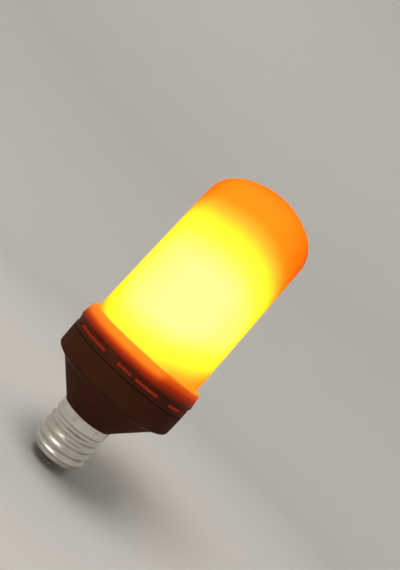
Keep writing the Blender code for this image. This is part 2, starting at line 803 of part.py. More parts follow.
def make_led_board(white):
    """The flexible board, wrapped to an open ring, with its LEDs in columns and its tail."""
    section = [
        (FLEX_BORE / math.cos(math.pi / LED_FACETS), FLEX_TOP),
        (FLEX_RADIUS / math.cos(math.pi / LED_FACETS), FLEX_TOP),
        (FLEX_RADIUS / math.cos(math.pi / LED_FACETS), FLEX_FOOT),
        (FLEX_BORE / math.cos(math.pi / LED_FACETS), FLEX_FOOT),
    ]
    board = turned("led_matrix_board", section, LED_FACETS, turn=flex_turn())
    depth = LED_STANDS_OUT + FLEX_THICKNESS / 2
    pitch = (FLEX_HEIGHT - 2 * LED_MARGIN) / (LED_ROWS - 1)
    leds = []
    for column in range(LED_COLUMNS):
        angle = 2 * math.pi * column / LED_COLUMNS
        x, y = around(angle, FLEX_RADIUS + LED_STANDS_OUT - depth / 2)
        for row in range(LED_ROWS):
            z = FLEX_FOOT + LED_MARGIN + row * pitch
            leds.append(
                block("led", (LED_WIDTH, depth, LED_LENGTH), (x, y, z), angle, cutters)
            )
    tail_out = FLEX_RADIUS - FLEX_THICKNESS / 4
    tail_in = TUBE_BORE - TAIL_REACH
    leds.append(
        block(
            "tail",
            (tail_out - tail_in, TAIL_WIDTH, FLEX_THICKNESS),
            ((tail_out + tail_in) / 2, 0.0, TAIL_MIDDLE),
            collection=cutters,
        )
    )
    combine(board, merged("leds", leds, cutters), "UNION")
    seam = block(
        "seam",
        (FLEX_SEAM, 2 * (FLEX_THICKNESS + CUTTER_MARGIN), FLEX_HEIGHT + 2 * CUTTER_MARGIN),
        (0.0, FLEX_RADIUS, FLEX_FOOT + FLEX_HEIGHT / 2),
        collection=cutters,
    )
    combine(board, seam, "DIFFERENCE")
    dress(board, white)


def make_controller(board_green, chip_black, metal, white):
    """The round board that runs the flame pattern, with its chip, tilt sensor and connector."""
    section = [
        (0.0, CONTROLLER_TOP),
        (CONTROLLER_RADIUS, CONTROLLER_TOP),
        (CONTROLLER_RADIUS, CONTROLLER_FOOT),
        (0.0, CONTROLLER_FOOT),
    ]
    dress(turned("controller_board", section, LED_FACETS, closed=False), board_green)
    seat = CONTROLLER_SEAT
    chip = block("pattern_chip", CHIP_SIZE, (*CHIP_AT, seat + CHIP_SIZE[2] / 2))
    dress(chip, chip_black)
    sensor = cylinder("tilt_sensor", SENSOR_RADIUS, seat, seat + SENSOR_HEIGHT, *SENSOR_AT)
    dress(sensor, metal)
    end = TUBE_BORE - TAIL_REACH - SEAT_GAP
    connector = block(
        "led_connector",
        CONNECTOR_SIZE,
        (end - CONNECTOR_SIZE[0] / 2, 0.0, TAIL_MIDDLE),
    )
    dress(connector, white)


def board_seat():
    """The height of the driver board's shoulders, which rest on the inside of the cone."""
    _, inner_cone = housing_line(HOUSING_WALL)
    return inner_cone(BOARD_HALF_WIDTH) + 2 * SEAT_GAP


def board_foot():
    """The height of the driver board's lower end."""
    return board_seat() - BOARD_TONGUE_LENGTH


def make_driver_board(board_green):
    """The T-shaped driver board: a tongue in the neck and a wide head in the cone."""
    seat = board_seat()
    half = [
        (BOARD_TONGUE_HALF, board_foot()),
        (BOARD_TONGUE_HALF, seat),
        (BOARD_HALF_WIDTH, seat),
        (BOARD_HALF_WIDTH, seat + BOARD_TOP_LENGTH),
    ]
    outline = half + [(-x, z) for x, z in reversed(half)]
    curve = bpy.data.curves.new("driver_board", "CURVE")
    curve.dimensions = "2D"
    curve.fill_mode = "BOTH"
    curve.extrude = BOARD_THICKNESS / 2
    spline = curve.splines.new("POLY")
    spline.points.add(len(outline) - 1)
    for point, (x, z) in zip(spline.points, outline):
        point.co = (x, z, 0.0, 1.0)
    spline.use_cyclic_u = True
    board = new_object("driver_board", curve)
    board.rotation_euler = (math.pi / 2, 0.0, 0.0)
    curve.materials.append(board_green)


def make_capacitor(name, radius, length, centre, sleeve):
    """An electrolytic capacitor: a can with the rolled groove above its foot."""
    x, y, foot = centre
    groove = radius / 3
    section = [
        (0.0, length),
        (radius - SHELL_WALL, length),
        (radius, length - SHELL_WALL),
        (radius, groove + SHELL_WALL),
        (radius - SHELL_WALL, groove),
        (radius, groove - SHELL_WALL),
        (radius, 0.0),
        (0.0, 0.0),
    ]
    can = turned(name, section, SMALL_FACETS, closed=False)
    can.location = (x, y, foot)
    dress(can, sleeve)


def make_driver_parts(sleeve, ferrite, chip_black, film_red, ceramic):
    """What is soldered to the two faces of the driver board."""
    face = BOARD_THICKNESS / 2 + SEAT_GAP
    seat = board_seat()
    top = seat + BOARD_TOP_LENGTH
    make_capacitor(
        "bulk_capacitor",
        BULK_CAP_RADIUS,
        BULK_CAP_LENGTH,
        (-BULK_CAP_RADIUS, -face - BULK_CAP_RADIUS, top - BULK_CAP_LENGTH),
        sleeve,
    )
    make_capacitor(
        "output_capacitor",
        OUTPUT_CAP_RADIUS,
        OUTPUT_CAP_LENGTH,
        (2 * OUTPUT_CAP_RADIUS, -face - OUTPUT_CAP_RADIUS, top - OUTPUT_CAP_LENGTH),
        sleeve,
    )
    drum = [
        (0.0, INDUCTOR_HEIGHT),
        (INDUCTOR_RADIUS, INDUCTOR_HEIGHT),
        (INDUCTOR_RADIUS, INDUCTOR_HEIGHT - INDUCTOR_WINDING),
        (INDUCTOR_RADIUS - INDUCTOR_WINDING, INDUCTOR_HEIGHT - 2 * INDUCTOR_WINDING),
        (INDUCTOR_RADIUS - INDUCTOR_WINDING, 2 * INDUCTOR_WINDING),
        (INDUCTOR_RADIUS, INDUCTOR_WINDING),
        (INDUCTOR_RADIUS, 0.0),
        (0.0, 0.0),
    ]
    inductor = turned("power_inductor", drum, SMALL_FACETS, closed=False)
    inductor.rotation_euler = (-math.pi / 2, 0.0, 0.0)
    inductor.location = (0.0, face, top - INDUCTOR_RADIUS)
    dress(inductor, ferrite)
    bridge = block(
        "bridge_rectifier",
        BRIDGE_SIZE,
        (
            BOARD_HALF_WIDTH - BRIDGE_SIZE[0],
            face + BRIDGE_SIZE[1] / 2,
            seat + BRIDGE_SIZE[2],
        ),
    )
    dress(bridge, chip_black)
    chip = block(
        "driver_chip",
        DRIVER_CHIP_SIZE,
        (
            DRIVER_CHIP_SIZE[0],
            -face - DRIVER_CHIP_SIZE[1] / 2,
            seat + DRIVER_CHIP_SIZE[2] / 2,
        ),
    )
    dress(chip, chip_black)
    film = block(
        "film_capacitor",
        FILM_CAP_SIZE,
        (0.0, face + FILM_CAP_SIZE[1] / 2, seat - FILM_CAP_SIZE[2] / 2),
    )
    dress(film, film_red)
    resistor = cylinder(
        "fusible_resistor",
        RESISTOR_RADIUS,
        seat - BOARD_TONGUE_LENGTH / 2 - RESISTOR_LENGTH / 2,
        seat - BOARD_TONGUE_LENGTH / 2 + RESISTOR_LENGTH / 2,
        -RESISTOR_RADIUS,
        -face - RESISTOR_RADIUS,
    )
    dress(resistor, ceramic)


def smooth_route(points, steps):
    """Points of a smooth curve through the given ones (Catmull-Rom), with steps for each span."""
    ends = [points[0]] + points + [points[-1]]
    route = []
    for a, b, c, d in zip(ends, ends[1:], ends[2:], ends[3:]):
        a, b, c, d = map(Vector, (a, b, c, d))
        for i in range(steps):
            t = i / steps
            route.append(
                0.5
                * (
                    2 * b
                    + (c - a) * t
                    + (2 * a - 5 * b + 4 * c - d) * t**2
                    + (3 * b - a - 3 * c + d) * t**3
                )
            )
    route.append(Vector(points[-1]))
    return route


def make_wire(name, points, insulation):
    """A hook-up wire along a smooth route."""
    route = smooth_route(points, 3)
    curve = bpy.data.curves.new(name, "CURVE")
    curve.dimensions = "3D"
    curve.bevel_depth = WIRE_RADIUS
    curve.bevel_resolution = 2
    curve.use_fill_caps = True
    spline = curve.splines.new("POLY")
    spline.points.add(len(route) - 1)
    for point, place in zip(spline.points, route):
        point.co = (*place, 1.0)
    new_object(name, curve)
    curve.materials.append(insulation)


def make_wires(red, black, white):
    """The mains wires from the cap to the driver board, and the leads up to the controller."""
    beside = BOARD_THICKNESS / 2 + SEAT_GAP + WIRE_RADIUS
    foot = board_foot()
    stem_top = CONTACT_THICKNESS + CONTACT_STEM_LENGTH + SEAT_GAP
    solder = foot + 4 * WIRE_RADIUS
    make_wire(
        "live_wire",
        [
            (0.0, 0.0, stem_top),
            (0.0, -beside / 2, (stem_top + foot) / 2),
            (4 * WIRE_RADIUS, -beside, foot),
            (4 * WIRE_RADIUS, -beside, solder),
        ],
        red,
    )
    shell_side = SHELL_BORE - SEAT_GAP - WIRE_RADIUS
    under_spigot = SPIGOT_FOOT - SEAT_GAP - WIRE_RADIUS
    make_wire(
        "neutral_wire",
        [
            (-shell_side, 0.0, under_spigot),
            (-shell_side * 2 / 3, beside, under_spigot),
            (-shell_side / 3, beside, foot),
            (-shell_side / 3, beside, solder),
        ],
        white,
    )
    board_top = board_seat() + BOARD_TOP_LENGTH
    lead_top = CONTROLLER_FOOT - SEAT_GAP
    past_inductor = INDUCTOR_RADIUS + SEAT_GAP + 2 * WIRE_RADIUS
    for name, side, insulation in (("positive_lead", 1, red), ("negative_lead", -1, black)):
        make_wire(
            name,
            [
                (side * past_inductor, beside, board_top - INDUCTOR_RADIUS),
                (side * past_inductor, beside, board_top),
                (side * PLATE_HOLE_RADIUS / 2, beside, PLATE_BOTTOM),
                (side * PLATE_HOLE_RADIUS / 2, beside, lead_top),
            ],
            insulation,
        )


def main():
    start_scene()
    nickel = finish("nickel_plate", (0.72, 0.70, 0.66), 0.25, 1.0)
    tin = finish("tinned_brass", (0.80, 0.74, 0.60), 0.35, 1.0)
    glass_black = finish("black_insulator", (0.02, 0.02, 0.022), 0.25)
    shell_plastic = finish("housing_plastic", (0.12, 0.062, 0.042), 0.42)
    milky = finish("translucent_collar_plastic", (0.93, 0.78, 0.62), 0.38)
    frosted = finish("frosted_diffuser", (1.0, 0.80, 0.38), 0.55)
    inner_white = finish("inner_white_plastic", (0.82, 0.82, 0.80), 0.5)
    flex_white = finish("white_flex_board", (0.90, 0.86, 0.62), 0.45)
    board_green = finish("circuit_board", (0.05, 0.28, 0.12), 0.45)
    chip_black = finish("chip_black", (0.03, 0.03, 0.03), 0.5)
    steel = finish("zinc_steel", (0.62, 0.62, 0.60), 0.35, 1.0)
    sleeve = finish("capacitor_sleeve", (0.05, 0.06, 0.12), 0.35)
    ferrite = finish("ferrite", (0.10, 0.09, 0.09), 0.6)
    film_red = finish("film_capacitor_red", (0.55, 0.10, 0.05), 0.4)
    ceramic = finish("resistor_body", (0.35, 0.52, 0.40), 0.5)
    red = finish("red_insulation", (0.65, 0.04, 0.03), 0.45)
    black = finish("black_insulation", (0.03, 0.03, 0.03), 0.45)
    white = finish("white_insulation", (0.85, 0.85, 0.82), 0.45)

    make_contact(tin)
    make_insulator(glass_black)
    make_screw_shell(nickel)
    make_housing(shell_plastic)
    make_collar(milky)
    make_diffuser(frosted)
    make_base_plate(inner_white)
    make_plate_screws(steel)
    make_tube(inner_white)
    make_tube_cap(inner_white)
    make_led_board(flex_white)
    make_controller(board_green, chip_black, steel, inner_white)
    make_driver_board(board_green)
    make_driver_parts(sleeve, ferrite, chip_black, film_red, ceramic)
    make_wires(red, black, white)


main()
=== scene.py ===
"""Dress the flame effect LED bulb: a lit frosted cover on a vented plastic base and a screw cap.

Lengths are in millimetres until they go into a mesh. A bearing is an angle in degrees round the
lamp's upright axis, 0 at the front (-Y), growing towards +X.
"""

import logging
import math
from dataclasses import dataclass, field
from enum import Enum

import bpy
import numpy as np
from mathutils import Matrix, Vector


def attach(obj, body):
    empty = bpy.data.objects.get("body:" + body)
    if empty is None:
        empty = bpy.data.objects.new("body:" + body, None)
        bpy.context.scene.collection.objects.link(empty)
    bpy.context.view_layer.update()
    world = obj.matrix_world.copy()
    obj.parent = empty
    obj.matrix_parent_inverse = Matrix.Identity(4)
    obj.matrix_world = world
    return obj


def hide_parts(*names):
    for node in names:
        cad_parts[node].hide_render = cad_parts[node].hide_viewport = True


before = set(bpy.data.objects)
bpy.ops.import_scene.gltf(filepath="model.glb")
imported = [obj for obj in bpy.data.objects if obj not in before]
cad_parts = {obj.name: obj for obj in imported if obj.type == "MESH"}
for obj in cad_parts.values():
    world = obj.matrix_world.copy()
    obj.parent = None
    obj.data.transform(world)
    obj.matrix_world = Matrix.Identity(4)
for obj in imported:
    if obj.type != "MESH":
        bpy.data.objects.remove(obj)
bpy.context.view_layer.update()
MM = 0.001
GLOW = "glow"
BODY = "root"
log = logging.getLogger("flame_bulb")

Colour = tuple[float, float, float]
Stops = tuple[tuple[float, Colour], ...]
Point = tuple[float, float]
Range = tuple[float, float]
Knots = tuple[Point, ...]
Corner = tuple[float, float, float]
Socket = bpy.types.NodeSocket
Value = Socket | float | Colour


# Shapes as arrays


@dataclass(frozen=True)
class Fade:
    """A smooth rise from 0 to 1 that starts at a value and takes a length."""

    start: float
    length: float

    def at(self, value: np.ndarray) -> np.ndarray:
        """Three times the square less twice the cube of the share of the length that is passed."""
        share = np.clip((value - self.start) / self.length, 0.0, 1.0)
        return share * share * (3.0 - 2.0 * share)


def round_curve(bearing: np.ndarray, knots: Knots) -> np.ndarray:
    """Follow a smooth closed curve round the lamp.

    Between two knots the value is a cubic whose slope at a knot is the rise between its two
    neighbours over the bearing between them. The last knot leads on to the first.

    Args:
        bearing: Bearings in degrees.
        knots: Pairs of bearing and value, in order, within one turn.

    Returns:
        The curve's value at each bearing.
    """
    at, value = np.array(knots, dtype=float).T
    at = np.concatenate((at[-2:] - 360.0, at, at[:2] + 360.0))
    value = np.concatenate((value[-2:], value, value[:2]))
    wrapped = (np.asarray(bearing) - at[2]) % 360.0 + at[2]
    low = np.clip(np.searchsorted(at, wrapped, side="right") - 1, 1, len(at) - 3)
    step = at[low + 1] - at[low]
    share = (wrapped - at[low]) / step
    slope = (value[low + 1] - value[low - 1]) / (at[low + 1] - at[low - 1]) * step
    next_slope = (value[low + 2] - value[low]) / (at[low + 2] - at[low]) * step
    square, cube = share**2, share**3
    return (
        (2 * cube - 3 * square + 1) * value[low]
        + (cube - 2 * square + share) * slope
        + (3 * square - 2 * cube) * value[low + 1]
        + (cube - square) * next_slope
    )


def arc(centre: Point, radius: float, start: float, end: float, steps: int) -> np.ndarray:
    """Points on a circle from one angle to another: the centre plus radius times cosine, sine.

    Args:
        centre: The circle's centre, as radius and height.
        radius: The circle's radius.
        start: First angle in degrees.
        end: Last angle in degrees.
        steps: Number of stretches between the points.

    Returns:
        An array of steps + 1 points.
    """
    angle = np.radians(np.linspace(start, end, steps + 1))
    return np.column_stack(
        (centre[0] + radius * np.cos(angle), centre[1] + radius * np.sin(angle))
    )


def fillet(before: Point, corner: Point, after: Point, radius: float, steps: int) -> np.ndarray:
    """Round one corner of a line: an arc that touches both of the corner's sides.

    The arc's centre lies on the corner's half-angle line, the radius over the sine of the half
    angle away from it.

    Args:
        before: The point before the corner.
        corner: The corner.
        after: The point after the corner.
        radius: The arc's radius.
        steps: Number of stretches on the arc.

    Returns:
        The arc's points, from the first side to the second.
    """
    corner = np.asarray(corner, dtype=float)
    back = np.asarray(before, dtype=float) - corner
    ahead = np.asarray(after, dtype=float) - corner
    back /= np.linalg.norm(back)
    ahead /= np.linalg.norm(ahead)
    half = math.acos(float(np.clip(back @ ahead, -1.0, 1.0))) / 2
    between = (back + ahead) / np.linalg.norm(back + ahead)
    centre = corner + between * radius / math.sin(half)
    first = corner + back * radius / math.tan(half) - centre
    last = corner + ahead * radius / math.tan(half) - centre
    start = math.degrees(math.atan2(first[1], first[0]))
    end = math.degrees(math.atan2(last[1], last[0]))
    turn = (end - start + 180.0) % 360.0 - 180.0
    return arc(tuple(centre), radius, start, start + turn, steps)


def crossing(first: np.ndarray, second: np.ndarray) -> np.ndarray:
    """Where two straight lines of a section cross: the solution of their two normal equations.

    Args:
        first: The two shares of a line's normal, and its distance along it.
        second: The same for the other line.

    Returns:
        The crossing's radius and height.
    """
    both = np.stack((first, second))
    return np.linalg.solve(both[:, :2], both[:, 2])


def rounded(corners: list[Corner], steps: int) -> np.ndarray:
    """A closed line through corners, each rounded by its own radius.

    Args:
        corners: Radius, height and rounding of each corner, in order.
        steps: Number of stretches on each rounding.

    Returns:
        The closed line's points.
    """
    line = []
    for index, (across, up, radius) in enumerate(corners):
        if radius == 0.0:
            line.append(np.array([[across, up]]))
            continue
        before = corners[index - 1][:2]
        after = corners[(index + 1) % len(corners)][:2]
        line.append(fillet(before, (across, up), after, radius, steps))
    return np.vstack(line)


def filled_in(line: np.ndarray, longest: float, closed: bool = True) -> np.ndarray:
    """Add points to a line so that no stretch of it is longer than the given length.

    Each stretch is cut into equal shares by straight interpolation along its length.

    Args:
        line: The line's points.
        longest: The greatest length of a stretch.
        closed: Whether the last point leads on to the first.

    Returns:
        The line with its added points.
    """
    ends = np.vstack((line, line[:1])) if closed else line
    length = np.linalg.norm(np.diff(ends, axis=0), axis=1)
    cuts = np.maximum(np.ceil(length / longest).astype(int), 1)
    whole = np.arange(len(cuts) + 1.0)
    stations = np.concatenate([i + np.arange(n) / n for i, n in enumerate(cuts)])
    if not closed:
        stations = np.append(stations, whole[-1])
    return np.column_stack([np.interp(stations, whole, ends[:, k]) for k in (0, 1)])


@dataclass
class Surface:
    """A closed mesh as arrays: points, faces of four and of three, and values on the points."""

    points: np.ndarray
    quads: np.ndarray
    triangles: np.ndarray = field(default_factory=lambda: np.zeros((0, 3), dtype=int))
    glow: np.ndarray | None = None

    def bearing(self) -> np.ndarray:
        """Bearing of each point, from the arc tangent of its place across and ahead."""
        return np.degrees(np.arctan2(self.points[:, 0], -self.points[:, 1]))

    def across(self) -> np.ndarray:
        """Distance of each point from the lamp's axis."""
        return np.hypot(self.points[:, 0], self.points[:, 1])

    def moved(self, across: float, back: float) -> "Surface":
        """The same surface moved sideways by the two lengths."""
        self.points = self.points + np.array([across, back, 0.0])
        return self

    def with_glow(self, glow: np.ndarray | float) -> "Surface":
        """The same surface with a glow value on each point."""
        self.glow = np.broadcast_to(np.asarray(glow, dtype=float), len(self.points)).copy()
        return self

    def plus(self, *others: "Surface") -> "Surface":
        """One surface that holds this one and the others, with their faces renumbered.

        Args:
            others: The surfaces to add.

        Returns:
            The joined surface.
        """
        every = (self, *others)
        starts = np.cumsum([0] + [len(s.points) for s in every])
        glows = [np.zeros(len(s.points)) if s.glow is None else s.glow for s in every]
        return Surface(
            np.vstack([s.points for s in every]),
            np.vstack([s.quads + start for s, start in zip(every, starts)]),
            np.vstack([s.triangles + start for s, start in zip(every, starts)]),
            np.concatenate(glows),
        )

    def to_object(self, name: str, crease: float) -> bpy.types.Object:
        """Make the mesh object, smooth except where faces meet at more than the crease angle.

        Args:
            name: The object's name.
            crease: The angle in degrees past which an edge is sharp.

        Returns:
            The object, at the origin.
        """
        mesh = bpy.data.meshes.new(name)
        mesh.from_pydata(
            (self.points * MM).tolist(), [], self.quads.tolist() + self.triangles.tolist()
        )
        if self.glow is not None:
            layer = mesh.attributes.new(GLOW, "FLOAT", "POINT")
            layer.data.foreach_set("value", self.glow.astype(np.float32))
        mesh.polygons.foreach_set("use_smooth", np.ones(len(mesh.polygons), dtype=bool))
        mesh.set_sharp_from_angle(angle=math.radians(crease))
        mesh.validate()
        mesh.update()
        piece = bpy.data.objects.new(name, mesh)
        bpy.context.scene.collection.objects.link(piece)
        return piece


def rings(bearing: np.ndarray, radius: np.ndarray, height: np.ndarray, closed: bool) -> Surface:
    """Carry rings of points round the lamp's axis and join each ring to the next.

    A point lies at radius times sine of its bearing across, less radius times cosine of it ahead,
    and at its height. Rings go up the outside and down the inside, so faces point outwards. An
    open row of rings starts and ends on the axis, and each end is closed by one point.

    Args:
        bearing: Bearing of each column.
        radius: Radius of each point, as rings by columns, or by one column.
        height: Height of each point, in the same form.
        closed: Whether the last ring leads on to the first.

    Returns:
        The closed surface.
    """
    turn = np.radians(bearing)[None, :]
    shape = (max(len(radius), len(height)), len(bearing))
    radius, height = np.broadcast_to(radius, shape), np.broadcast_to(height, shape)
    points = np.stack((radius * np.sin(turn), -radius * np.cos(turn), height), axis=-1)
    if not closed:
        points = points[1:-1]
    index = np.arange(points[..., 0].size).reshape(points.shape[:2])
    low, high = (index, np.roll(index, -1, axis=0)) if closed else (index[:-1], index[1:])
    quads = np.stack((low, np.roll(low, -1, 1), np.roll(high, -1, 1), high), axis=-1)
    points, quads = points.reshape(-1, 3), quads.reshape(-1, 4)
    if closed:
        return Surface(points, quads)
    poles = np.array([[0.0, 0.0, height[0, 0]], [0.0, 0.0, height[-1, 0]]])
    first = np.full(len(bearing), len(points))
    fans = np.vstack((
        np.column_stack((first, np.roll(index[0], -1), index[0])),
        np.column_stack((index[-1], np.roll(index[-1], -1), first + 1)),
    ))
    return Surface(np.vstack((points, poles)), quads, fans)


def lathe(line: np.ndarray, columns: int, closed: bool = True) -> Surface:
    """Turn a line of radius and height round the axis, the same at every bearing."""
    bearing = np.arange(columns) * 360.0 / columns
    return rings(bearing, line[:, :1], line[:, 1:], closed)


def brick(low: Corner, high: Corner) -> Surface:
    """A straight rib between two corners: every mix of the corners' three coordinates.

    Args:
        low: The corner with the least coordinates.
        high: The corner with the greatest coordinates.

    Returns:
        The closed rib.
    """
    corners = np.array(np.meshgrid([0, 1], [0, 1], [0, 1], indexing="ij")).reshape(3, 8).T
    points = np.asarray(low) + corners * (np.asarray(high) - np.asarray(low))
    quads = [(0, 1, 3, 2), (4, 6, 7, 5), (0, 4, 5, 1), (2, 3, 7, 6), (0, 2, 6, 4), (1, 5, 7, 3)]
    return Surface(points, np.array(quads))


# Finishes


def tinted(colour: Colour, factor: float) -> Colour:
    """A colour with each share multiplied by a factor."""
    return tuple(share * factor for share in colour)


class Recipe:
    """The node tree of one material, put together with short calls."""

    NOISE_RANGE: Range = (0.3, 0.7)

    def __init__(self, name: str) -> None:
        """Start a material with a Principled shader, its output and the Object coordinates.

        Args:
            name: The material's name.
        """
        self.material = bpy.data.materials.new(name)
        self.material.use_nodes = True
        self.tree = self.material.node_tree
        self.tree.nodes.clear()
        self.shader = self.node("BsdfPrincipled")
        self.node("OutputMaterial", Surface=self.shader.outputs["BSDF"])
        self.place = self.node("TexCoord").outputs["Object"]

    def put(self, socket: Socket, value: Value) -> None:
        """Link a node's output into a socket, or set the socket's own value.

        Args:
            socket: The socket to fill.
            value: An output, a number, a vector or a colour.
        """
        if isinstance(value, Socket):
            self.tree.links.new(value, socket)
        elif isinstance(value, tuple) and socket.type == "RGBA":
            socket.default_value = (*value, 1.0)
        else:
            socket.default_value = value

    def node(self, kind: str, **inputs: Value) -> bpy.types.Node:
        """Add a shader node and fill its sockets.

        Args:
            kind: The node's type, less the words that every shader node's type starts with.
            inputs: What goes into each socket, by the socket's name.

        Returns:
            The node.
        """
        node = self.tree.nodes.new("ShaderNode" + kind)
        for name, value in inputs.items():
            self.put(node.inputs[name], value)
        return node

    def set(self, **values: Value) -> None:
        """Set the shader's sockets, named with underscores for blanks."""
        for name, value in values.items():
            self.put(self.shader.inputs[name.replace("_", " ")], value)

    def maths(self, operation: str, *values: Value) -> Socket:
        """One Math node on sockets or numbers.

        Args:
            operation: What the node works out.
            values: What goes in, in order.

        Returns:
            The result.
        """
        node = self.node("Math")
        node.operation = operation
        for socket, value in zip(node.inputs, values):
            self.put(socket, value)
        return node.outputs[0]

    def axes(self) -> tuple[Socket, ...]:
        """The three Object coordinates, each on its own."""
        return tuple(self.node("SeparateXYZ", Vector=self.place).outputs)

    def scaled(self, stretch: Corner) -> Socket:
        """Object coordinates stretched along each axis by a Mapping node."""
        return self.node("Mapping", Vector=self.place, Scale=stretch).outputs[0]

    def noise(self, size: float, detail: float = 3.0, vector: Socket | None = None) -> Socket:
        """A noise.

        Args:
            size: Size of its spots in millimetres.
            detail: How many finer noises lie on it.
            vector: Where it is read, or nothing for the Object coordinates.

        Returns:
            The noise, mostly between its usual low and high.
        """
        vector = self.place if vector is None else vector
        node = self.node("TexNoise", Vector=vector, Scale=1.0 / (size * MM), Detail=detail)
        return node.outputs["Fac"]

    def cells(self, size: float, feature: str, vector: Socket | None = None) -> Socket:
        """A pattern of cells.

        Args:
            size: Size of a cell in millimetres.
            feature: What the distance is measured to.
            vector: Where it is read, or nothing for the Object coordinates.

        Returns:
            The distance.
        """
        vector = self.place if vector is None else vector
        node = self.node("TexVoronoi", Vector=vector, Scale=1.0 / (size * MM))
        node.feature = feature
        return node.outputs["Distance"]

    def spread(self, value: Value, old: Range, new: Range = (0.0, 1.0)) -> Socket:
        """Carry a range of a value over to another range, held at both ends.

        Args:
            value: The value.
            old: Where its range starts and ends.
            new: What the start and the end become.

        Returns:
            The new value.
        """
        node = self.node("MapRange")
        for socket, number in zip(node.inputs, (value, *old, *new)):
            self.put(socket, number)
        return node.outputs[0]

    def step(self, value: Socket, middle: float, soft: float) -> Socket:
        """A step from 0 to 1 at a middle, softened by a width on each side of it."""
        return self.spread(value, (middle - soft, middle + soft))

    def wander(self, noise: Socket, ends: Range, middle: float = 0.0) -> Socket:
        """A value that follows a noise.

        Args:
            noise: The noise.
            ends: The value at the noise's usual low and high, less the middle.
            middle: What is added to both.

        Returns:
            The value.
        """
        return self.spread(noise, self.NOISE_RANGE, tuple(middle + end for end in ends))

    def ramp(self, value: Value, stops: Stops) -> Socket:
        """A colour ramp.

        Args:
            value: Where along the ramp the colour is read.
            stops: The ramp's places and colours.

        Returns:
            The colour.
        """
        node = self.node("ValToRGB", Fac=value)
        elements = node.color_ramp.elements
        elements.remove(elements[1])
        elements[0].position = stops[0][0]
        elements[0].color = (*stops[0][1], 1.0)
        for position, colour in stops[1:]:
            elements.new(position).color = (*colour, 1.0)
        return node.outputs["Color"]

    def cloudy(self, noise: Socket, shades: tuple[Colour, ...]) -> Socket:
        """A colour that follows a noise from a first shade at its usual low to a second."""
        return self.ramp(noise, tuple(zip(self.NOISE_RANGE, shades)))

    def between(self, share: Value, first: Value, second: Value) -> Socket:
        """A mix of two colours.

        Args:
            share: The second colour's share.
            first: The first colour.
            second: The second colour.

        Returns:
            The mixed colour.
        """
        node = self.node("Mix")
        node.data_type = "RGBA"
        factor, first_colour, second_colour = (node.inputs[place] for place in (0, 6, 7))
        self.put(factor, share)
        self.put(first_colour, first)
        self.put(second_colour, second)
        return node.outputs[2]

    def glow(self) -> Socket:
        """The glow value that the mesh keeps on its points.

        Returns:
            The value.
        """
        node = self.node("Attribute")
        node.attribute_name = GLOW
        return node.outputs["Fac"]

    def relief(self, height: Value, depth: float) -> None:
        """Let a height pattern bend the shading, with a depth in millimetres."""
        bump = self.node("Bump", Strength=1.0, Distance=depth * MM, Height=height)
        self.put(self.shader.inputs["Normal"], bump.outputs[0])


@dataclass(frozen=True)
class Finish:
    """What every finish has: its material's name, and its own way to fill in a recipe.

    A pattern's plain name holds the size of its spots or its pitch, and a depth goes with it, both
    in millimetres. An edge is the range of the pattern over which it comes in, a tint multiplies
    a colour, a share is how much of it shows, and a dulling is what it adds to the roughness.
    """

    name: str

    def mix(self, recipe: Recipe) -> None:
        """Fill in the recipe. Each kind of finish has its own way."""
        raise NotImplementedError

    def material(self, lit: Colour | None = None) -> bpy.types.Material:
        """Make the node material.

        Args:
            lit: A painted glow on the whole piece that stands for the flame's light reaching it,
                if any.

        Returns:
            The material.
        """
        recipe = Recipe(self.name)
        self.mix(recipe)
        if lit is not None:
            recipe.set(Emission_Color=lit, Emission_Strength=1.0)
        return recipe.material


@dataclass(frozen=True)
class MouldedPlastic(Finish):
    """Injection moulded plastic with a fine eroded grain and soft cloudy shading.

    Where the mesh keeps a glow value, light comes through the plastic by the stops of `through`.
    """

    colour: Colour
    roughness: float = 0.42
    wear: float = 2.6
    wear_dulling: Range = (-0.07, 0.09)
    grain: float = 0.22
    grain_depth: float = 0.012
    wave: float = 6.0
    wave_share: float = 2.0
    cloud: float = 9.0
    cloud_tints: Range = (0.86, 1.10)
    speck: float = 0.9
    speck_edge: Range = (0.62, 0.78)
    speck_tint: float = 0.62
    speck_share: float = 0.18
    specular: float = 0.5
    through: Stops = ()
    strength: float = 1.0

    def mix(self, recipe: Recipe) -> None:
        """Cloudy colour with dark specks, a wandering roughness, and a grain on wide waves.

        Args:
            recipe: The recipe to fill in.
        """
        shades = tuple(tinted(self.colour, tint) for tint in self.cloud_tints)
        cloudy = recipe.cloudy(recipe.noise(self.cloud, detail=4.0), shades)
        specks = recipe.spread(
            recipe.noise(self.speck, detail=2.0), self.speck_edge, (0.0, self.speck_share)
        )
        worn = recipe.noise(self.wear, detail=5.0)
        recipe.set(
            Base_Color=recipe.between(specks, cloudy, tinted(self.colour, self.speck_tint)),
            Roughness=recipe.wander(worn, self.wear_dulling, self.roughness),
            Specular_IOR_Level=self.specular,
        )
        if self.through:
            light = recipe.ramp(recipe.glow(), self.through)
            recipe.set(Emission_Color=light, Emission_Strength=self.strength)
        waves = recipe.maths("MULTIPLY", recipe.noise(self.wave, detail=1.0), self.wave_share)
        recipe.relief(recipe.maths("ADD", recipe.noise(self.grain), waves), self.grain_depth)


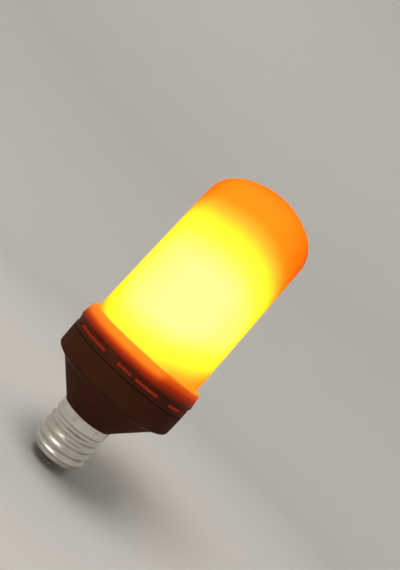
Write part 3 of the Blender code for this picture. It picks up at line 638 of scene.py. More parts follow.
@dataclass(frozen=True)
class LitFrost(Finish):
    """Frosted cover lit by the LEDs behind it, under a coat whose tint paints shade deepening at
    its edges.
    """

    stops: Stops
    strength: float
    # the coat's tint: painted shade that dims and warms the cover towards its edges
    skin: Colour
    skin_index: float = 1.01
    skin_roughness: float = 0.5
    # painted light: an orange base colour that stands for the cover's glow; the frost itself is
    # pale
    base: Colour = (0.26, 0.060, 0.004)
    dust: float = 0.8
    dust_edge: Range = (0.35, 0.65)
    dust_tint: float = 0.7
    dust_share: float = 0.25
    haze: float = 1.8
    roughness: Range = (0.52, 0.64)
    specular: float = 0.03
    mottle: float = 7.0
    mottle_heat: Range = (-0.008, 0.008)
    frost: float = 0.35
    frost_depth: float = 0.010

    def mix(self, recipe: Recipe) -> None:
        """The flame's light by the glow value, faintly mottled, under dust and a tinted coat.

        Args:
            recipe: The recipe to fill in.
        """
        mottle = recipe.wander(recipe.noise(self.mottle, detail=2.0), self.mottle_heat)
        heat = recipe.maths("ADD", recipe.glow(), mottle)
        dust = recipe.spread(
            recipe.noise(self.dust, detail=4.0), self.dust_edge, (0.0, self.dust_share)
        )
        recipe.set(
            Base_Color=recipe.between(dust, self.base, tinted(self.base, self.dust_tint)),
            Roughness=recipe.wander(recipe.noise(self.haze), self.roughness),
            Specular_IOR_Level=self.specular,
            Coat_Weight=1.0,
            Coat_Roughness=self.skin_roughness,
            Coat_IOR=self.skin_index,
            Coat_Tint=self.skin,
            Emission_Color=recipe.ramp(heat, self.stops),
            Emission_Strength=self.strength,
        )
        recipe.relief(recipe.noise(self.frost), self.frost_depth)


@dataclass(frozen=True)
class PlatedMetal(Finish):
    """Plated sheet metal with drawn lines round the axis, rubbed spots and light tarnish."""

    colour: Colour
    tarnish: Colour
    roughness: float = 0.24
    line: float = 0.12
    line_stretch: Corner = (0.04, 0.04, 1.0)
    line_edge: Range = (0.35, 0.65)
    line_dulling: Range = (-0.05, 0.05)
    line_depth: float = 0.004
    spot: float = 3.5
    spot_edge: Range = (0.45, 0.72)
    spot_dulling: Range = (-0.03, 0.07)

    def mix(self, recipe: Recipe) -> None:
        """Tarnish and dullness by the rubbed spots, with fine lines round the axis.

        Args:
            recipe: The recipe to fill in.
        """
        lines = recipe.noise(self.line, detail=4.0, vector=recipe.scaled(self.line_stretch))
        spots = recipe.noise(self.spot, detail=6.0)
        rubbed = recipe.spread(spots, self.spot_edge)
        recipe.set(
            Base_Color=recipe.between(rubbed, self.colour, self.tarnish),
            Metallic=1.0,
            Roughness=recipe.maths(
                "ADD",
                recipe.wander(spots, self.spot_dulling, self.roughness),
                recipe.spread(lines, self.line_edge, self.line_dulling),
            ),
        )
        recipe.relief(lines, self.line_depth)


@dataclass(frozen=True)
class GlossInsulator(Finish):
    """Black fired insulator with a smooth glaze, pits and patches of paler dust."""

    colour: Colour = (0.014, 0.013, 0.013)
    dusty: Colour = (0.060, 0.055, 0.050)
    roughness: Range = (0.16, 0.42)
    glaze: float = 0.35
    glaze_roughness: float = 0.12
    dust: float = 2.2
    dust_edge: Range = (0.52, 0.74)
    pit: float = 0.7
    pit_edge: Range = (0.0, 0.35)
    pit_depth: float = 0.02

    def mix(self, recipe: Recipe) -> None:
        """Dust that dulls the glaze, and pits in it.

        Args:
            recipe: The recipe to fill in.
        """
        dust = recipe.spread(recipe.noise(self.dust, detail=6.0), self.dust_edge)
        pits = recipe.spread(recipe.cells(self.pit, "F1"), self.pit_edge)
        recipe.set(
            Base_Color=recipe.between(dust, self.colour, self.dusty),
            Roughness=recipe.spread(dust, (0.0, 1.0), self.roughness),
            Coat_Weight=self.glaze,
            Coat_Roughness=self.glaze_roughness,
        )
        recipe.relief(pits, self.pit_depth)


@dataclass(frozen=True)
class CircuitBoard(Finish):
    """Lacquered board with copper tracks, tinned pads and woven glass under the lacquer.

    The weave is the turn of its sines in radians per metre.
    """

    lacquer: Colour = (0.020, 0.085, 0.035)
    gloss: float = 1.5
    roughness: Range = (0.26, 0.44)
    track: Colour = (0.045, 0.17, 0.07)
    track_edge: Range = (0.10, 0.13)
    pad: Colour = (0.62, 0.60, 0.55)
    pad_edge: Range = (0.16, 0.19)
    pitch: float = 2.2
    stretch: Corner = (1.0, 0.55, 1.0)
    weave: float = 9000.0
    weave_tint: float = 1.5
    weave_share: float = 0.25
    copper_depth: float = 0.03

    def mix(self, recipe: Recipe) -> None:
        """Tracks along the edges of stretched cells, round pads, and a weave of two sines.

        Args:
            recipe: The recipe to fill in.
        """
        edge = recipe.cells(self.pitch, "DISTANCE_TO_EDGE", recipe.scaled(self.stretch))
        track = recipe.spread(edge, self.track_edge, (1.0, 0.0))
        pad = recipe.spread(recipe.cells(self.pitch, "F1"), self.pad_edge, (1.0, 0.0))
        across, _, up = recipe.axes()
        threads = [
            recipe.maths("SINE", recipe.maths("MULTIPLY", axis, self.weave))
            for axis in (across, up)
        ]
        weave = recipe.maths("MULTIPLY", *threads)
        glass = recipe.spread(weave, (-1.0, 1.0), (0.0, self.weave_share))
        ground = recipe.between(glass, self.lacquer, tinted(self.lacquer, self.weave_tint))
        recipe.set(
            Base_Color=recipe.between(pad, recipe.between(track, ground, self.track), self.pad),
            Metallic=pad,
            Roughness=recipe.wander(recipe.noise(self.gloss, detail=4.0), self.roughness),
        )
        recipe.relief(recipe.maths("ADD", track, pad), self.copper_depth)


@dataclass(frozen=True)
class LedFlex(Finish):
    """White flexible board whose packages stand out: amber dies in white cups, copper between."""

    board: Colour = (0.78, 0.77, 0.73)
    copper: Colour = (0.80, 0.42, 0.20)
    cup: Colour = (0.86, 0.85, 0.80)
    dull_cup: Colour = (0.72, 0.71, 0.66)
    cup_dust: float = 1.0
    amber: Colour = (0.95, 0.50, 0.06)
    shine: Colour = (1.0, 0.42, 0.05)
    strength: float = 1.5
    package_radius: float = 19.25
    package_soft: float = 0.1
    die_radius: float = 19.72
    die_soft: float = 0.03
    gloss: float = 1.3
    roughness: Range = (0.34, 0.5)
    track: float = 3.1
    track_edge: Range = (0.05, 0.07)
    track_share: float = 0.8
    track_depth: float = 0.02

    def mix(self, recipe: Recipe) -> None:
        """Board, cup or lit die by the distance from the axis, with tracks on the board.

        Args:
            recipe: The recipe to fill in.
        """
        across, back, _ = recipe.axes()
        squares = [recipe.maths("MULTIPLY", axis, axis) for axis in (across, back)]
        radius = recipe.maths("DIVIDE", recipe.maths("SQRT", recipe.maths("ADD", *squares)), MM)
        package = recipe.step(radius, self.package_radius, self.package_soft)
        die = recipe.step(radius, self.die_radius, self.die_soft)
        line = recipe.spread(
            recipe.cells(self.track, "DISTANCE_TO_EDGE"), self.track_edge, (self.track_share, 0.0)
        )
        ground = recipe.between(line, self.board, self.copper)
        cup = recipe.between(recipe.noise(self.cup_dust), self.cup, self.dull_cup)
        recipe.set(
            Base_Color=recipe.between(die, recipe.between(package, ground, cup), self.amber),
            Roughness=recipe.wander(recipe.noise(self.gloss), self.roughness),
            Emission_Color=recipe.between(die, (0.0, 0.0, 0.0), self.shine),
            Emission_Strength=self.strength,
        )
        recipe.relief(line, self.track_depth)


@dataclass(frozen=True)
class Sleeve(Finish):
    """Shrink sleeve round a can: a pale stripe down one side and fine pull marks."""

    colour: Colour
    stripe: Colour = (0.55, 0.55, 0.52)
    stripe_edge: Range = (0.09, 0.10)
    pitch: float = 11.0
    roughness: Range = (0.22, 0.40)
    coat: float = 0.2
    pull: float = 0.5
    pull_stretch: Corner = (1.0, 1.0, 0.2)
    pull_depth: float = 0.02

    def mix(self, recipe: Recipe) -> None:
        """A stripe in the middle of each pitch across, and marks drawn out along the axis.

        Args:
            recipe: The recipe to fill in.
        """
        across = recipe.maths("DIVIDE", recipe.axes()[0], MM * self.pitch)
        off_middle = recipe.maths("SUBTRACT", recipe.maths("FRACT", across), 0.5)
        off_middle = recipe.maths("ABSOLUTE", off_middle)
        stripe = recipe.spread(off_middle, self.stripe_edge, (1.0, 0.0))
        pull = recipe.noise(self.pull, vector=recipe.scaled(self.pull_stretch))
        recipe.set(
            Base_Color=recipe.between(stripe, self.colour, self.stripe),
            Roughness=recipe.wander(pull, self.roughness),
            Coat_Weight=self.coat,
        )
        recipe.relief(pull, self.pull_depth)


@dataclass(frozen=True)
class Resin(Finish):
    """Cast or dipped body: resin with flow marks, a fine grain and a paler worn bloom."""

    colour: Colour
    bloom: Colour
    roughness: float = 0.5
    grain: float = 0.3
    grain_depth: float = 0.02
    wear: float = 1.2
    wear_dulling: Range = (-0.08, 0.1)
    flow: float = 2.4
    flow_edge: Range = (0.42, 0.75)
    band: Colour | None = None
    band_edge: Range = (0.62, 0.66)
    band_pitch: float = 1.9

    def mix(self, recipe: Recipe) -> None:
        """The bloom by the flow marks, and a band in each pitch along the axis, where it has any.

        Args:
            recipe: The recipe to fill in.
        """
        flow = recipe.spread(recipe.noise(self.flow, detail=5.0), self.flow_edge)
        colour = recipe.between(flow, self.colour, self.bloom)
        if self.band is not None:
            up = recipe.maths("DIVIDE", recipe.axes()[2], self.band_pitch * MM)
            share = recipe.spread(recipe.maths("FRACT", up), self.band_edge)
            colour = recipe.between(share, colour, self.band)
        worn = recipe.noise(self.wear, detail=4.0)
        recipe.set(
            Base_Color=colour,
            Roughness=recipe.wander(worn, self.wear_dulling, self.roughness),
        )
        recipe.relief(recipe.noise(self.grain, detail=4.0), self.grain_depth)


# The stops of light


# painted edge shade: the coat's tint dims and warms the lit cover's light towards its edges
EDGE_SHADE_TINT: Colour = (0.97, 0.95, 0.75)
LAMP_STRENGTH = 2.8
COLLAR_STRENGTH = 1.4


def through_skin(light: Colour) -> Colour:
    """The share of the lamp's strength that shows a given light once it is through the skin."""
    return tuple(value / tint / LAMP_STRENGTH for value, tint in zip(light, EDGE_SHADE_TINT))


FLAME_LIGHT: Stops = tuple(
    (position, through_skin(light))
    for position, light in (
        (0.00, (0.70, 0.09, 0.001)),
        (0.14, (1.15, 0.20, 0.003)),
        (0.25, (1.50, 0.31, 0.011)),
        (0.38, (1.70, 0.57, 0.032)),
        (0.52, (1.85, 1.04, 0.035)),
        (0.66, (1.95, 1.25, 0.066)),
        (0.84, (2.00, 1.48, 0.190)),
        (1.00, (2.05, 1.62, 0.330)),
    )
)
COLLAR_LIGHT: Stops = tuple(
    (position, tinted(light, 1 / COLLAR_STRENGTH))
    for position, light in (
        (0.00, (0.000, 0.000, 0.000)),
        (0.07, (0.090, 0.002, 0.000)),
        (0.31, (0.340, 0.014, 0.000)),
        (0.44, (0.545, 0.051, 0.001)),
        (0.54, (0.680, 0.085, 0.001)),
        (0.66, (0.930, 0.175, 0.004)),
        (0.78, (1.080, 0.260, 0.009)),
        (0.86, (1.150, 0.350, 0.016)),
        (1.00, (1.400, 0.850, 0.042)),
    )
)
VENT_LIGHT: Stops = ((0.00, (0.0, 0.0, 0.0)), (1.00, (0.86, 0.062, 0.024)))


class Plastic(Enum):
    """Moulded plastics of the lamp. The housing's and the collar's dark browns are painted shade.
    """

    HOUSING = MouldedPlastic(
        "housing_plastic",
        # painted shade: a dark warm brown for the plastic as it looks in dim warm light, darker
        # than its own colour
        (0.053, 0.0178, 0.0085),
        roughness=0.5,
        specular=0.01,
        through=VENT_LIGHT,
        strength=COLLAR_STRENGTH,
    )
    COLLAR = MouldedPlastic(
        "collar_plastic",
        # painted shade: a dark warm brown for the plastic as it looks in dim warm light, darker
        # than its own colour
        (0.058, 0.0180, 0.0085),
        roughness=0.45,
        grain_depth=0.006,
        specular=0.02,
        through=COLLAR_LIGHT,
        strength=COLLAR_STRENGTH,
    )
    INNER = MouldedPlastic("inner_plastic", (0.62, 0.58, 0.52), roughness=0.5)
    CONNECTOR = MouldedPlastic("connector_plastic", (0.70, 0.68, 0.60), roughness=0.4, grain=0.15)


# Sub-assemblies


@dataclass
class Piece:
    """What every visible piece has: its name, the CAD node it stands for and its slot."""

    name: str
    node: str
    slot: str
    crease: float = 32.0

    def surface(self) -> Surface:
        """The piece's closed surface. Each kind of piece works out its own."""
        raise NotImplementedError

    def finish(self) -> Finish:
        """The piece's finish."""
        raise NotImplementedError

    def refine(self, piece: bpy.types.Object) -> None:
        """Add modifiers, where the piece needs any."""

    def make(self) -> bpy.types.Object:
        """Build, dress and place the piece on the lamp's body.

        Returns:
            The finished object, which stands for its CAD node.
        """
        piece = self.surface().to_object(self.name, self.crease)
        piece.data.materials.append(self.finish().material())
        self.refine(piece)
        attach(piece, BODY)
        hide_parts(self.node)
        log.info("%s: %d faces for %s", self.name, len(piece.data.polygons), self.node)
        return piece


@dataclass
class Diffuser(Piece):
    """Frosted tubular cover with a domed end, and the flame's light on it.

    The fades of the upper and lower edges, and of the core inside them, count from those edges
    towards the flame's middle. The others are heights.
    """

    name: str = "frosted_cover"
    node: str = "diffuser"
    slot: str = "frosted_diffuser"
    wall_radius: float = 29.36
    wall_foot: float = 64.56
    dome_foot: float = 138.06
    draft: float = 0.17
    corner: float = 15.2
    crown: float = 39.05
    thickness: float = 1.2
    flange_radius: float = 30.4
    flange_low: float = 58.96
    flange_high: float = 60.96
    columns: int = 160
    row: float = 1.3
    corner_steps: int = 20
    crown_steps: int = 22
    upper_edge: Knots = (
        (-180.0, 126.0), (-140.0, 119.0), (-105.0, 123.0), (-65.0, 128.4), (-50.0, 129.1),
        (-20.0, 128.9), (0.0, 129.5), (25.0, 127.7), (40.0, 125.4), (55.0, 122.2),
        (70.0, 118.4), (92.0, 113.5), (120.0, 118.0), (150.0, 128.0),
    )
    lower_edge: Knots = (
        (-180.0, 62.0), (-140.0, 67.0), (-105.0, 69.0), (-70.0, 66.4), (-40.0, 60.0),
        (0.0, 61.0), (25.0, 66.0), (45.0, 69.0), (72.0, 73.3), (110.0, 70.0), (150.0, 61.0),
    )
    rest_above: Knots = (
        (-180.0, 0.20), (-140.0, 0.18), (-100.0, 0.09), (-80.0, 0.09), (-65.0, 0.13),
        (-50.0, 0.20), (-35.0, 0.22), (10.0, 0.22), (25.0, 0.19), (40.0, 0.15),
        (55.0, 0.09), (70.0, 0.02), (95.0, 0.04), (130.0, 0.14),
    )
    core_share: Knots = (
        (-180.0, 0.85), (-140.0, 0.70), (-100.0, 0.50), (-65.0, 0.44), (-50.0, 0.69),
        (-35.0, 0.85), (-20.0, 0.95), (0.0, 1.00), (22.0, 0.98), (40.0, 0.76),
        (55.0, 0.74), (70.0, 0.50), (105.0, 0.52), (145.0, 0.80),
    )
    upper_fade: Fade = Fade(-8.7, 17.4)
    lower_fade: Fade = Fade(-5.0, 10.0)
    upper_core: Fade = Fade(3.0, 24.0)
    lower_core: Fade = Fade(2.8, 18.0)
    body_heat: float = 0.52
    rest_below: float = 0.27
    rest_fade: Fade = Fade(112.0, 30.0)
    rest_top: float = 0.18
    top_fade: Fade = Fade(143.0, 11.0)
    crown_loss: float = 0.03
    crown_fade: Fade = Fade(138.0, 14.0)

    def dome(self, inset: float) -> np.ndarray:
        """The dome from the top of the wall to the axis: a corner arc, then a wide crown arc.

        Args:
            inset: How far the line lies inside the outer face.

        Returns:
            Points of radius and height, from the wall to the axis.
        """
        rise = self.dome_foot - self.wall_foot
        top_radius = self.wall_radius - rise * math.tan(math.radians(self.draft))
        across = top_radius - self.corner
        drop = math.sqrt((self.crown - self.corner) ** 2 - across**2)
        meet = math.degrees(math.atan2(drop, across))
        side, middle = (across, self.dome_foot), (0.0, self.dome_foot - drop)
        corner = arc(side, self.corner - inset, 0.0, meet, self.corner_steps)
        crown = arc(middle, self.crown - inset, meet, 90.0, self.crown_steps)
        crown[-1, 0] = 0.0
        return np.vstack((corner, crown[1:]))

    def surface(self) -> Surface:
        """Turn the cover's wall: down the inside from the axis, round the foot and up outside.

        Returns:
            The cover, with its heat as its glow.
        """
        foot = [
            (self.wall_radius - self.thickness, self.flange_low),
            (self.flange_radius, self.flange_low),
            (self.flange_radius, self.flange_high),
            (self.wall_radius, self.flange_high),
            (self.wall_radius, self.wall_foot),
        ]
        line = np.vstack((self.dome(self.thickness)[::-1], foot, self.dome(0.0)))
        cover = lathe(filled_in(line, self.row, closed=False), self.columns, closed=False)
        return cover.with_glow(self.heat(cover.bearing(), cover.points[:, 2]))

    def heat(self, bearing: np.ndarray, height: np.ndarray) -> np.ndarray:
        """The flame's heat on the cover, from 0, deep orange, to 1, pale yellow.

        The flame's body lies between a lower and an upper edge that wave round the lamp. Its heat
        is a resting orange, which changes round the lamp above the flame but not at the dome's
        top, plus a share that rises smoothly inside the edges, plus a larger share that rises
        over a longer way towards the flame's middle.

        Args:
            bearing: Bearing of each point.
            height: Height of each point.

        Returns:
            The heat of each point.
        """
        above = round_curve(bearing, self.rest_above)
        above = above + (self.rest_top - above) * self.top_fade.at(height)
        rest = self.rest_below + (above - self.rest_below) * self.rest_fade.at(height)
        under = round_curve(bearing, self.upper_edge) - height
        over = height - round_curve(bearing, self.lower_edge)
        body = self.upper_fade.at(under) * self.lower_fade.at(over)
        core = self.upper_core.at(under) * self.lower_core.at(over)
        core = core * round_curve(bearing, self.core_share)
        crown = self.crown_loss * self.crown_fade.at(height)
        return (
            rest - crown + (self.body_heat - rest) * body + (1.0 - self.body_heat) * core * body
        )

    def finish(self) -> Finish:
        """Frost lit from inside."""
        return LitFrost("lit_frost", FLAME_LIGHT, LAMP_STRENGTH, EDGE_SHADE_TINT)


@dataclass
class VentCollar(Piece):
    """Ring with seven vents, whose rolled lip holds the cover's foot and shines through.

    The fades of the glow are heights, but for the lip's edge, which counts inwards from the top's
    radius.
    """

    name: str = "vented_collar"
    node: str = "vent_collar"
    slot: str = "translucent_collar_plastic"
    radius: float = 32.2
    bore: float = 30.7
    foot: float = 52.06
    foot_round: float = 0.2
    top: float = 64.56
    lip_bore: float = 29.66
    lip_underside: float = 61.26
    lip_round: float = 0.35
    top_radius: float = 32.0
    top_round: float = 1.7
    bead: float = 0.55
    bead_middle: float = 57.16
    bead_rounds: tuple[float, float, float] = (0.25, 0.35, 1.0)
    snap_middle: float = 52.71
    snap_height: float = 0.3
    slot_middle: float = 54.61
    slot_height: float = 1.2
    slot_span: float = 39.2
    slot_turn: float = 9.8
    slot_count: int = 7
    bridge_middle: float = 5.3
    bridge_span: float = 3.6
    soft_edge: float = 0.1
    soft_edge_steps: int = 2
    soft_edge_angle: float = 60.0
    row: float = 0.8
    round_steps: int = 7
    column_step: float = 2.0
    column_least: float = 0.9
    shine: Knots = (
        (-180.0, 0.97), (-120.0, 0.90), (-75.0, 0.94), (-60.0, 0.957), (-30.0, 1.00),
        (0.0, 1.00), (17.0, 0.97), (28.0, 0.847), (60.0, 0.80), (95.0, 0.85), (140.0, 0.96),
    )
    lip_share: Knots = (
        (-180.0, 0.60), (-120.0, 0.40), (-75.0, 0.25), (-58.0, 0.30), (-38.0, 0.90),
        (-20.0, 1.00), (60.0, 1.00), (120.0, 0.80),
    )
    dimming: float = 0.8
    trace: float = 0.025
    trace_fade: Fade = Fade(55.0, 1.2)
    climb: float = 0.765
    climb_fade: Fade = Fade(56.3, 6.3)
    lip: float = 0.27
    lip_fade: Fade = Fade(63.0, 1.3)
    lip_edge: Fade = Fade(-0.1, 1.3)
    dim_red: float = 0.20
    bright_red: float = 0.7
    bright_from: float = 60.0
    inside_top: float = 64.0
    inside_past_bore: float = 0.02

    def slot_edges(self) -> Range:
        """Heights of the vents' sills and heads."""
        return self.slot_middle - self.slot_height / 2, self.slot_middle + self.slot_height / 2

    def slot_spans(self) -> list[Range]:
        """The vents as pairs of bearings, the front one split by its bridge.

        Returns:
            The first and last bearing of each vent.
        """
        left = self.bridge_middle - self.bridge_span / 2
        right = self.bridge_middle + self.bridge_span / 2
        spans = []
        for index in range(self.slot_count):
            middle = self.slot_turn + index * 360.0 / self.slot_count
            low, high = middle - self.slot_span / 2, middle + self.slot_span / 2
            bridged = low < left and right < high
            spans += [(low, left), (right, high)] if bridged else [(low, high)]
        return spans

    def bearings(self) -> np.ndarray:
        """Even columns, with the vents' edges put in place of the columns next to them.

        Returns:
            The bearing of each column, in order.
        """
        even = np.arange(-180.0, 180.0, self.column_step)
        edges = np.array([edge for span in self.slot_spans() for edge in span])
        edges = (edges + 180.0) % 360.0 - 180.0
        away = np.abs(even[:, None] - edges[None, :]).min(axis=1)
        kept = even[(away < 1e-6) | (away > self.column_least)]
        return np.unique(np.round(np.concatenate((kept, edges)), 6))

    def line(self) -> np.ndarray:
        """The ring's closed section, up the outside and down the inside.

        Returns:
            Points of radius and height.
        """
        low, high = self.slot_edges()
        belt = self.radius + self.bead
        under_round, belt_round, over_round = self.bead_rounds
        corners = [
            (self.bore, self.foot, 0.0),
            (self.radius, self.foot, self.foot_round),
            (self.radius, low, 0.0),
            (self.radius, high, 0.0),
            (self.radius, self.bead_middle - self.bead / 2, under_round),
            (belt, self.bead_middle, belt_round),
            (belt, self.bead_middle + self.bead, over_round),
            (self.top_radius, self.top, self.top_round),
            (self.lip_bore, self.top, self.lip_round),
            (self.lip_bore, self.lip_underside, 0.0),
            (self.bore, self.lip_underside, 0.0),
            (self.bore, high, 0.0),
            (self.bore, low, 0.0),
            (self.bore, self.snap_middle + self.snap_height, 0.0),
            (self.bore + self.snap_height, self.snap_middle, 0.0),
            (self.bore, self.snap_middle - self.snap_height, 0.0),
        ]
        return filled_in(rounded(corners, self.round_steps), self.row)

    def surface(self) -> Surface:
        """Turn the section, leave out the vents' faces and wall each vent to the inside.

        A vent's four walls join the outer wall's points to the inner wall's at the same height
        and bearing.

        Returns:
            The ring, with the light that comes through it as its glow.
        """
        bearing, line = self.bearings(), self.line()
        ring = rings(bearing, line[:, :1], line[:, 1:], closed=True)
        columns = len(bearing)
        low, high = self.slot_edges()

        def row_at(radius: float, height: float) -> int:
            """The row of the section that lies at a radius and height."""
            return int(np.argmin(np.hypot(line[:, 0] - radius, line[:, 1] - height)))

        outer = np.arange(row_at(self.radius, low), row_at(self.radius, high) + 1)
        inner = np.arange(row_at(self.bore, high), row_at(self.bore, low) + 1)
        middle = bearing + np.diff(np.append(bearing, bearing[0] + 360.0)) / 2
        vent = np.zeros(columns, dtype=bool)
        for start, end in self.slot_spans():
            vent |= ((middle - start) % 360.0) < (end - start)
        keep = np.ones((len(line), columns), dtype=bool)
        for rows in (outer, inner):
            keep[np.ix_(rows[:-1], vent)] = False
        index = np.arange(len(line) * columns).reshape(len(line), columns)
        ahead = np.roll(index, -1, axis=1)
        faces = [ring.quads.reshape(len(line), columns, 4)[keep]]
        for near, far in ((outer[0], inner[-1]), (inner[0], outer[-1])):
            walls = np.stack((index[near], ahead[near], ahead[far], index[far]), axis=-1)
            faces.append(walls[vent])
        starts = np.flatnonzero(vent & ~np.roll(vent, 1))
        ends = np.flatnonzero(~vent & np.roll(vent, 1))
        upwards = inner[::-1]
        for posts, order in ((starts, 1), (ends, -1)):
            for corners in zip(outer[:-1], upwards[:-1], upwards[1:], outer[1:]):
                wall = np.stack([index[row, posts] for row in corners], axis=-1)
                faces.append(wall[:, ::order])
        ring.quads = np.vstack(faces)
        return ring.with_glow(self.shining(ring))

    def shining(self, ring: Surface) -> np.ndarray:
        """How much light comes through the ring at each point.

        Outside it rises smoothly from a trace under the bead to full at the lip and on to the
        cover. A share that changes round the lamp dims it, to a power that grows downwards, and
        another dims the lip. Inside, the wall is bright behind the cover's foot and stays dim red
        behind the vents.

        Args:
            ring: The ring.

        Returns:
            The glow of each point.
        """
        height, across, bearing = ring.points[:, 2], ring.across(), ring.bearing()
        climb = self.trace * self.trace_fade.at(height) + self.climb * self.climb_fade.at(height)
        lip = self.lip * self.lip_edge.at(self.top_radius - across) * self.lip_fade.at(height)
        lip = lip * round_curve(bearing, self.lip_share)
        power = 1.0 + self.dimming * (self.top - height)
        outside = (climb + lip) * round_curve(bearing, self.shine) ** power
        inside = np.where(height > self.bright_from, self.bright_red, self.dim_red)
        within = (across < self.bore + self.inside_past_bore) & (height < self.inside_top)
        return np.where(within, inside, outside)

    def finish(self) -> Finish:
        """Plastic that lets the light through at its lip."""
        return Plastic.COLLAR.value

    def refine(self, piece: bpy.types.Object) -> None:
        """Soften the vents' sharp edges.

        Args:
            piece: The ring's object.
        """
        bevel = piece.modifiers.new("soft_edges", "BEVEL")
        bevel.width = self.soft_edge * MM
        bevel.segments = self.soft_edge_steps
        bevel.limit_method = "ANGLE"
        bevel.angle_limit = math.radians(self.soft_edge_angle)


@dataclass
class Housing(Piece):
    """Lower housing: rim, rounded corner, shoulder, cone and neck, with posts and rails inside."""

    name: str = "moulded_housing"
    node: str = "lower_housing"
    slot: str = "housing_plastic"
    rim_radius: float = 32.2
    rim_draft: float = 2.7
    seam: float = 51.76
    seam_round: float = 0.25
    corner: float = 1.9
    inner_corner: float = 0.6
    shoulder: float = 28.0
    crease_radius: float = 26.75
    crease_height: float = 39.66
    crease_round: float = 1.6
    cone: float = 46.3
    neck_radius: float = 13.6
    neck: float = 25.9
    neck_round: float = 0.7
    wall: float = 2.2
    tongue_radius: float = 30.4
    tongue_bore: float = 29.3
    tongue_top: float = 53.66
    tongue_round: float = 0.15
    snap_middle: float = 52.71
    snap_height: float = 0.3
    spigot_radius: float = 11.55
    spigot_bore: float = 10.05
    spigot_foot: float = 11.9
    spigot_round: float = 0.3
    post_circle: float = 25.0
    post_radius: float = 2.8
    post_edge: float = 0.25
    post_hole: float = 1.0
    post_hole_depth: float = 8.0
    post_top: float = 56.76
    post_turn: float = 40.0
    post_count: int = 3
    rail_across: Range = (7.4, 10.8)
    rail_ahead: Range = (0.9, 1.9)
    rail_foot: float = 13.4
    columns: int = 180
    post_columns: int = 24
    row: float = 1.6
    neck_steps: int = 5
    round_steps: int = 12
    dim_red: float = 0.20
    lit_past_tongue: float = 0.45
    lit_past_neck: float = 0.9

    def faces(self, inset: float) -> tuple[np.ndarray, np.ndarray, np.ndarray]:
        """The cone, the shoulder and the rim as straight lines of the section, moved in.

        Args:
            inset: How far each line lies inside the outer face.

        Returns:
            For each line the two shares of its outward normal, and its distance along it.
        """
        crease = np.array([self.crease_radius, self.crease_height])
        rim_top = np.array([self.rim_radius, self.seam])
        lines = []
        for point, lean in (
            (crease, self.cone),
            (crease, self.shoulder),
            (rim_top, 90.0 - self.rim_draft),
        ):
            out = np.array([math.sin(math.radians(lean)), -math.cos(math.radians(lean))])
            lines.append(np.append(out, out @ point - inset))
        return tuple(lines)

    def outer_line(self) -> list[Corner]:
        """Corners of the outside from the spigot's foot up to the rim and its tongue.

        Returns:
            Radius, height and rounding of each corner.
        """
        _, shoulder, rim = self.faces(0.0)
        centre = (self.neck_radius - self.neck_round, self.neck + self.neck_round)
        edge = arc(centre, self.neck_round, -90.0, self.cone - 90.0, self.neck_steps)
        return [
            (self.spigot_bore, self.spigot_foot, 0.0),
            (self.spigot_radius, self.spigot_foot, self.spigot_round),
            (self.spigot_radius, self.neck, 0.0),
            *[(across, up, 0.0) for across, up in edge.tolist()],
            (self.crease_radius, self.crease_height, self.crease_round),
            (*crossing(shoulder, rim), self.corner),
            (self.rim_radius, self.seam, self.seam_round),
            (self.tongue_radius, self.seam, 0.0),
            (self.tongue_radius, self.snap_middle - self.snap_height, 0.0),
            (self.tongue_radius + self.snap_height, self.snap_middle, 0.0),
            (self.tongue_radius, self.snap_middle + self.snap_height, 0.0),
            (self.tongue_radius, self.tongue_top, self.tongue_round),
        ]

    def inner_line(self) -> list[Corner]:
        """Corners of the inside: the outside's faces moved in by the wall.

        Returns:
            Radius, height and rounding of each corner, from the tongue down.
        """
        cone, shoulder, rim = self.faces(self.wall)
        bore = (cone[2] - cone[0] * self.spigot_bore) / cone[1]
        return [
            (self.tongue_bore, self.tongue_top, self.tongue_round),
            (*crossing(shoulder, rim), self.inner_corner),
            (*crossing(cone, shoulder), 0.0),
            (self.spigot_bore, bore, 0.0),
        ]

    def floor_height(self, radius: np.ndarray) -> np.ndarray:
        """Height of the wall's middle at a radius, the lower of its cone and its shoulder."""
        cone, shoulder, _ = self.faces(self.wall / 2)
        return np.minimum(*((face[2] - face[0] * radius) / face[1] for face in (cone, shoulder)))

    def post(self, bearing: float) -> Surface:
        """One screw post with its pilot hole, standing on the sloping wall.

        A ring of points round the post's own axis, whose foot follows the wall's middle.

        Args:
            bearing: The post's bearing.

        Returns:
            The closed post.
        """
        line = np.array([
            (0.0, 0.0),
            (self.post_radius, 0.0),
            (self.post_radius, self.post_top - self.post_edge),
            (self.post_radius - self.post_edge, self.post_top),
            (self.post_hole, self.post_top),
            (self.post_hole, self.post_top - self.post_hole_depth),
            (0.0, self.post_top - self.post_hole_depth),
        ])
        turn = math.radians(bearing)
        post = lathe(line, self.post_columns, closed=False)
        post = post.moved(self.post_circle * math.sin(turn), -self.post_circle * math.cos(turn))
        height = post.points[:, 2]
        post.points[:, 2] = np.where(height == 0.0, self.floor_height(post.across()), height)
        return post

    def rail(self, side: int, face: int) -> Surface:
        """One of the ribs that hold the driver board.

        Args:
            side: 1 for the +X side of the neck, -1 for the other.
            face: 1 for the board's +Y face, -1 for the other.

        Returns:
            The closed rib.
        """
        across = sorted(side * end for end in self.rail_across)
        back = sorted(face * end for end in self.rail_ahead)
        return brick((across[0], back[0], self.rail_foot), (across[1], back[1], self.neck))

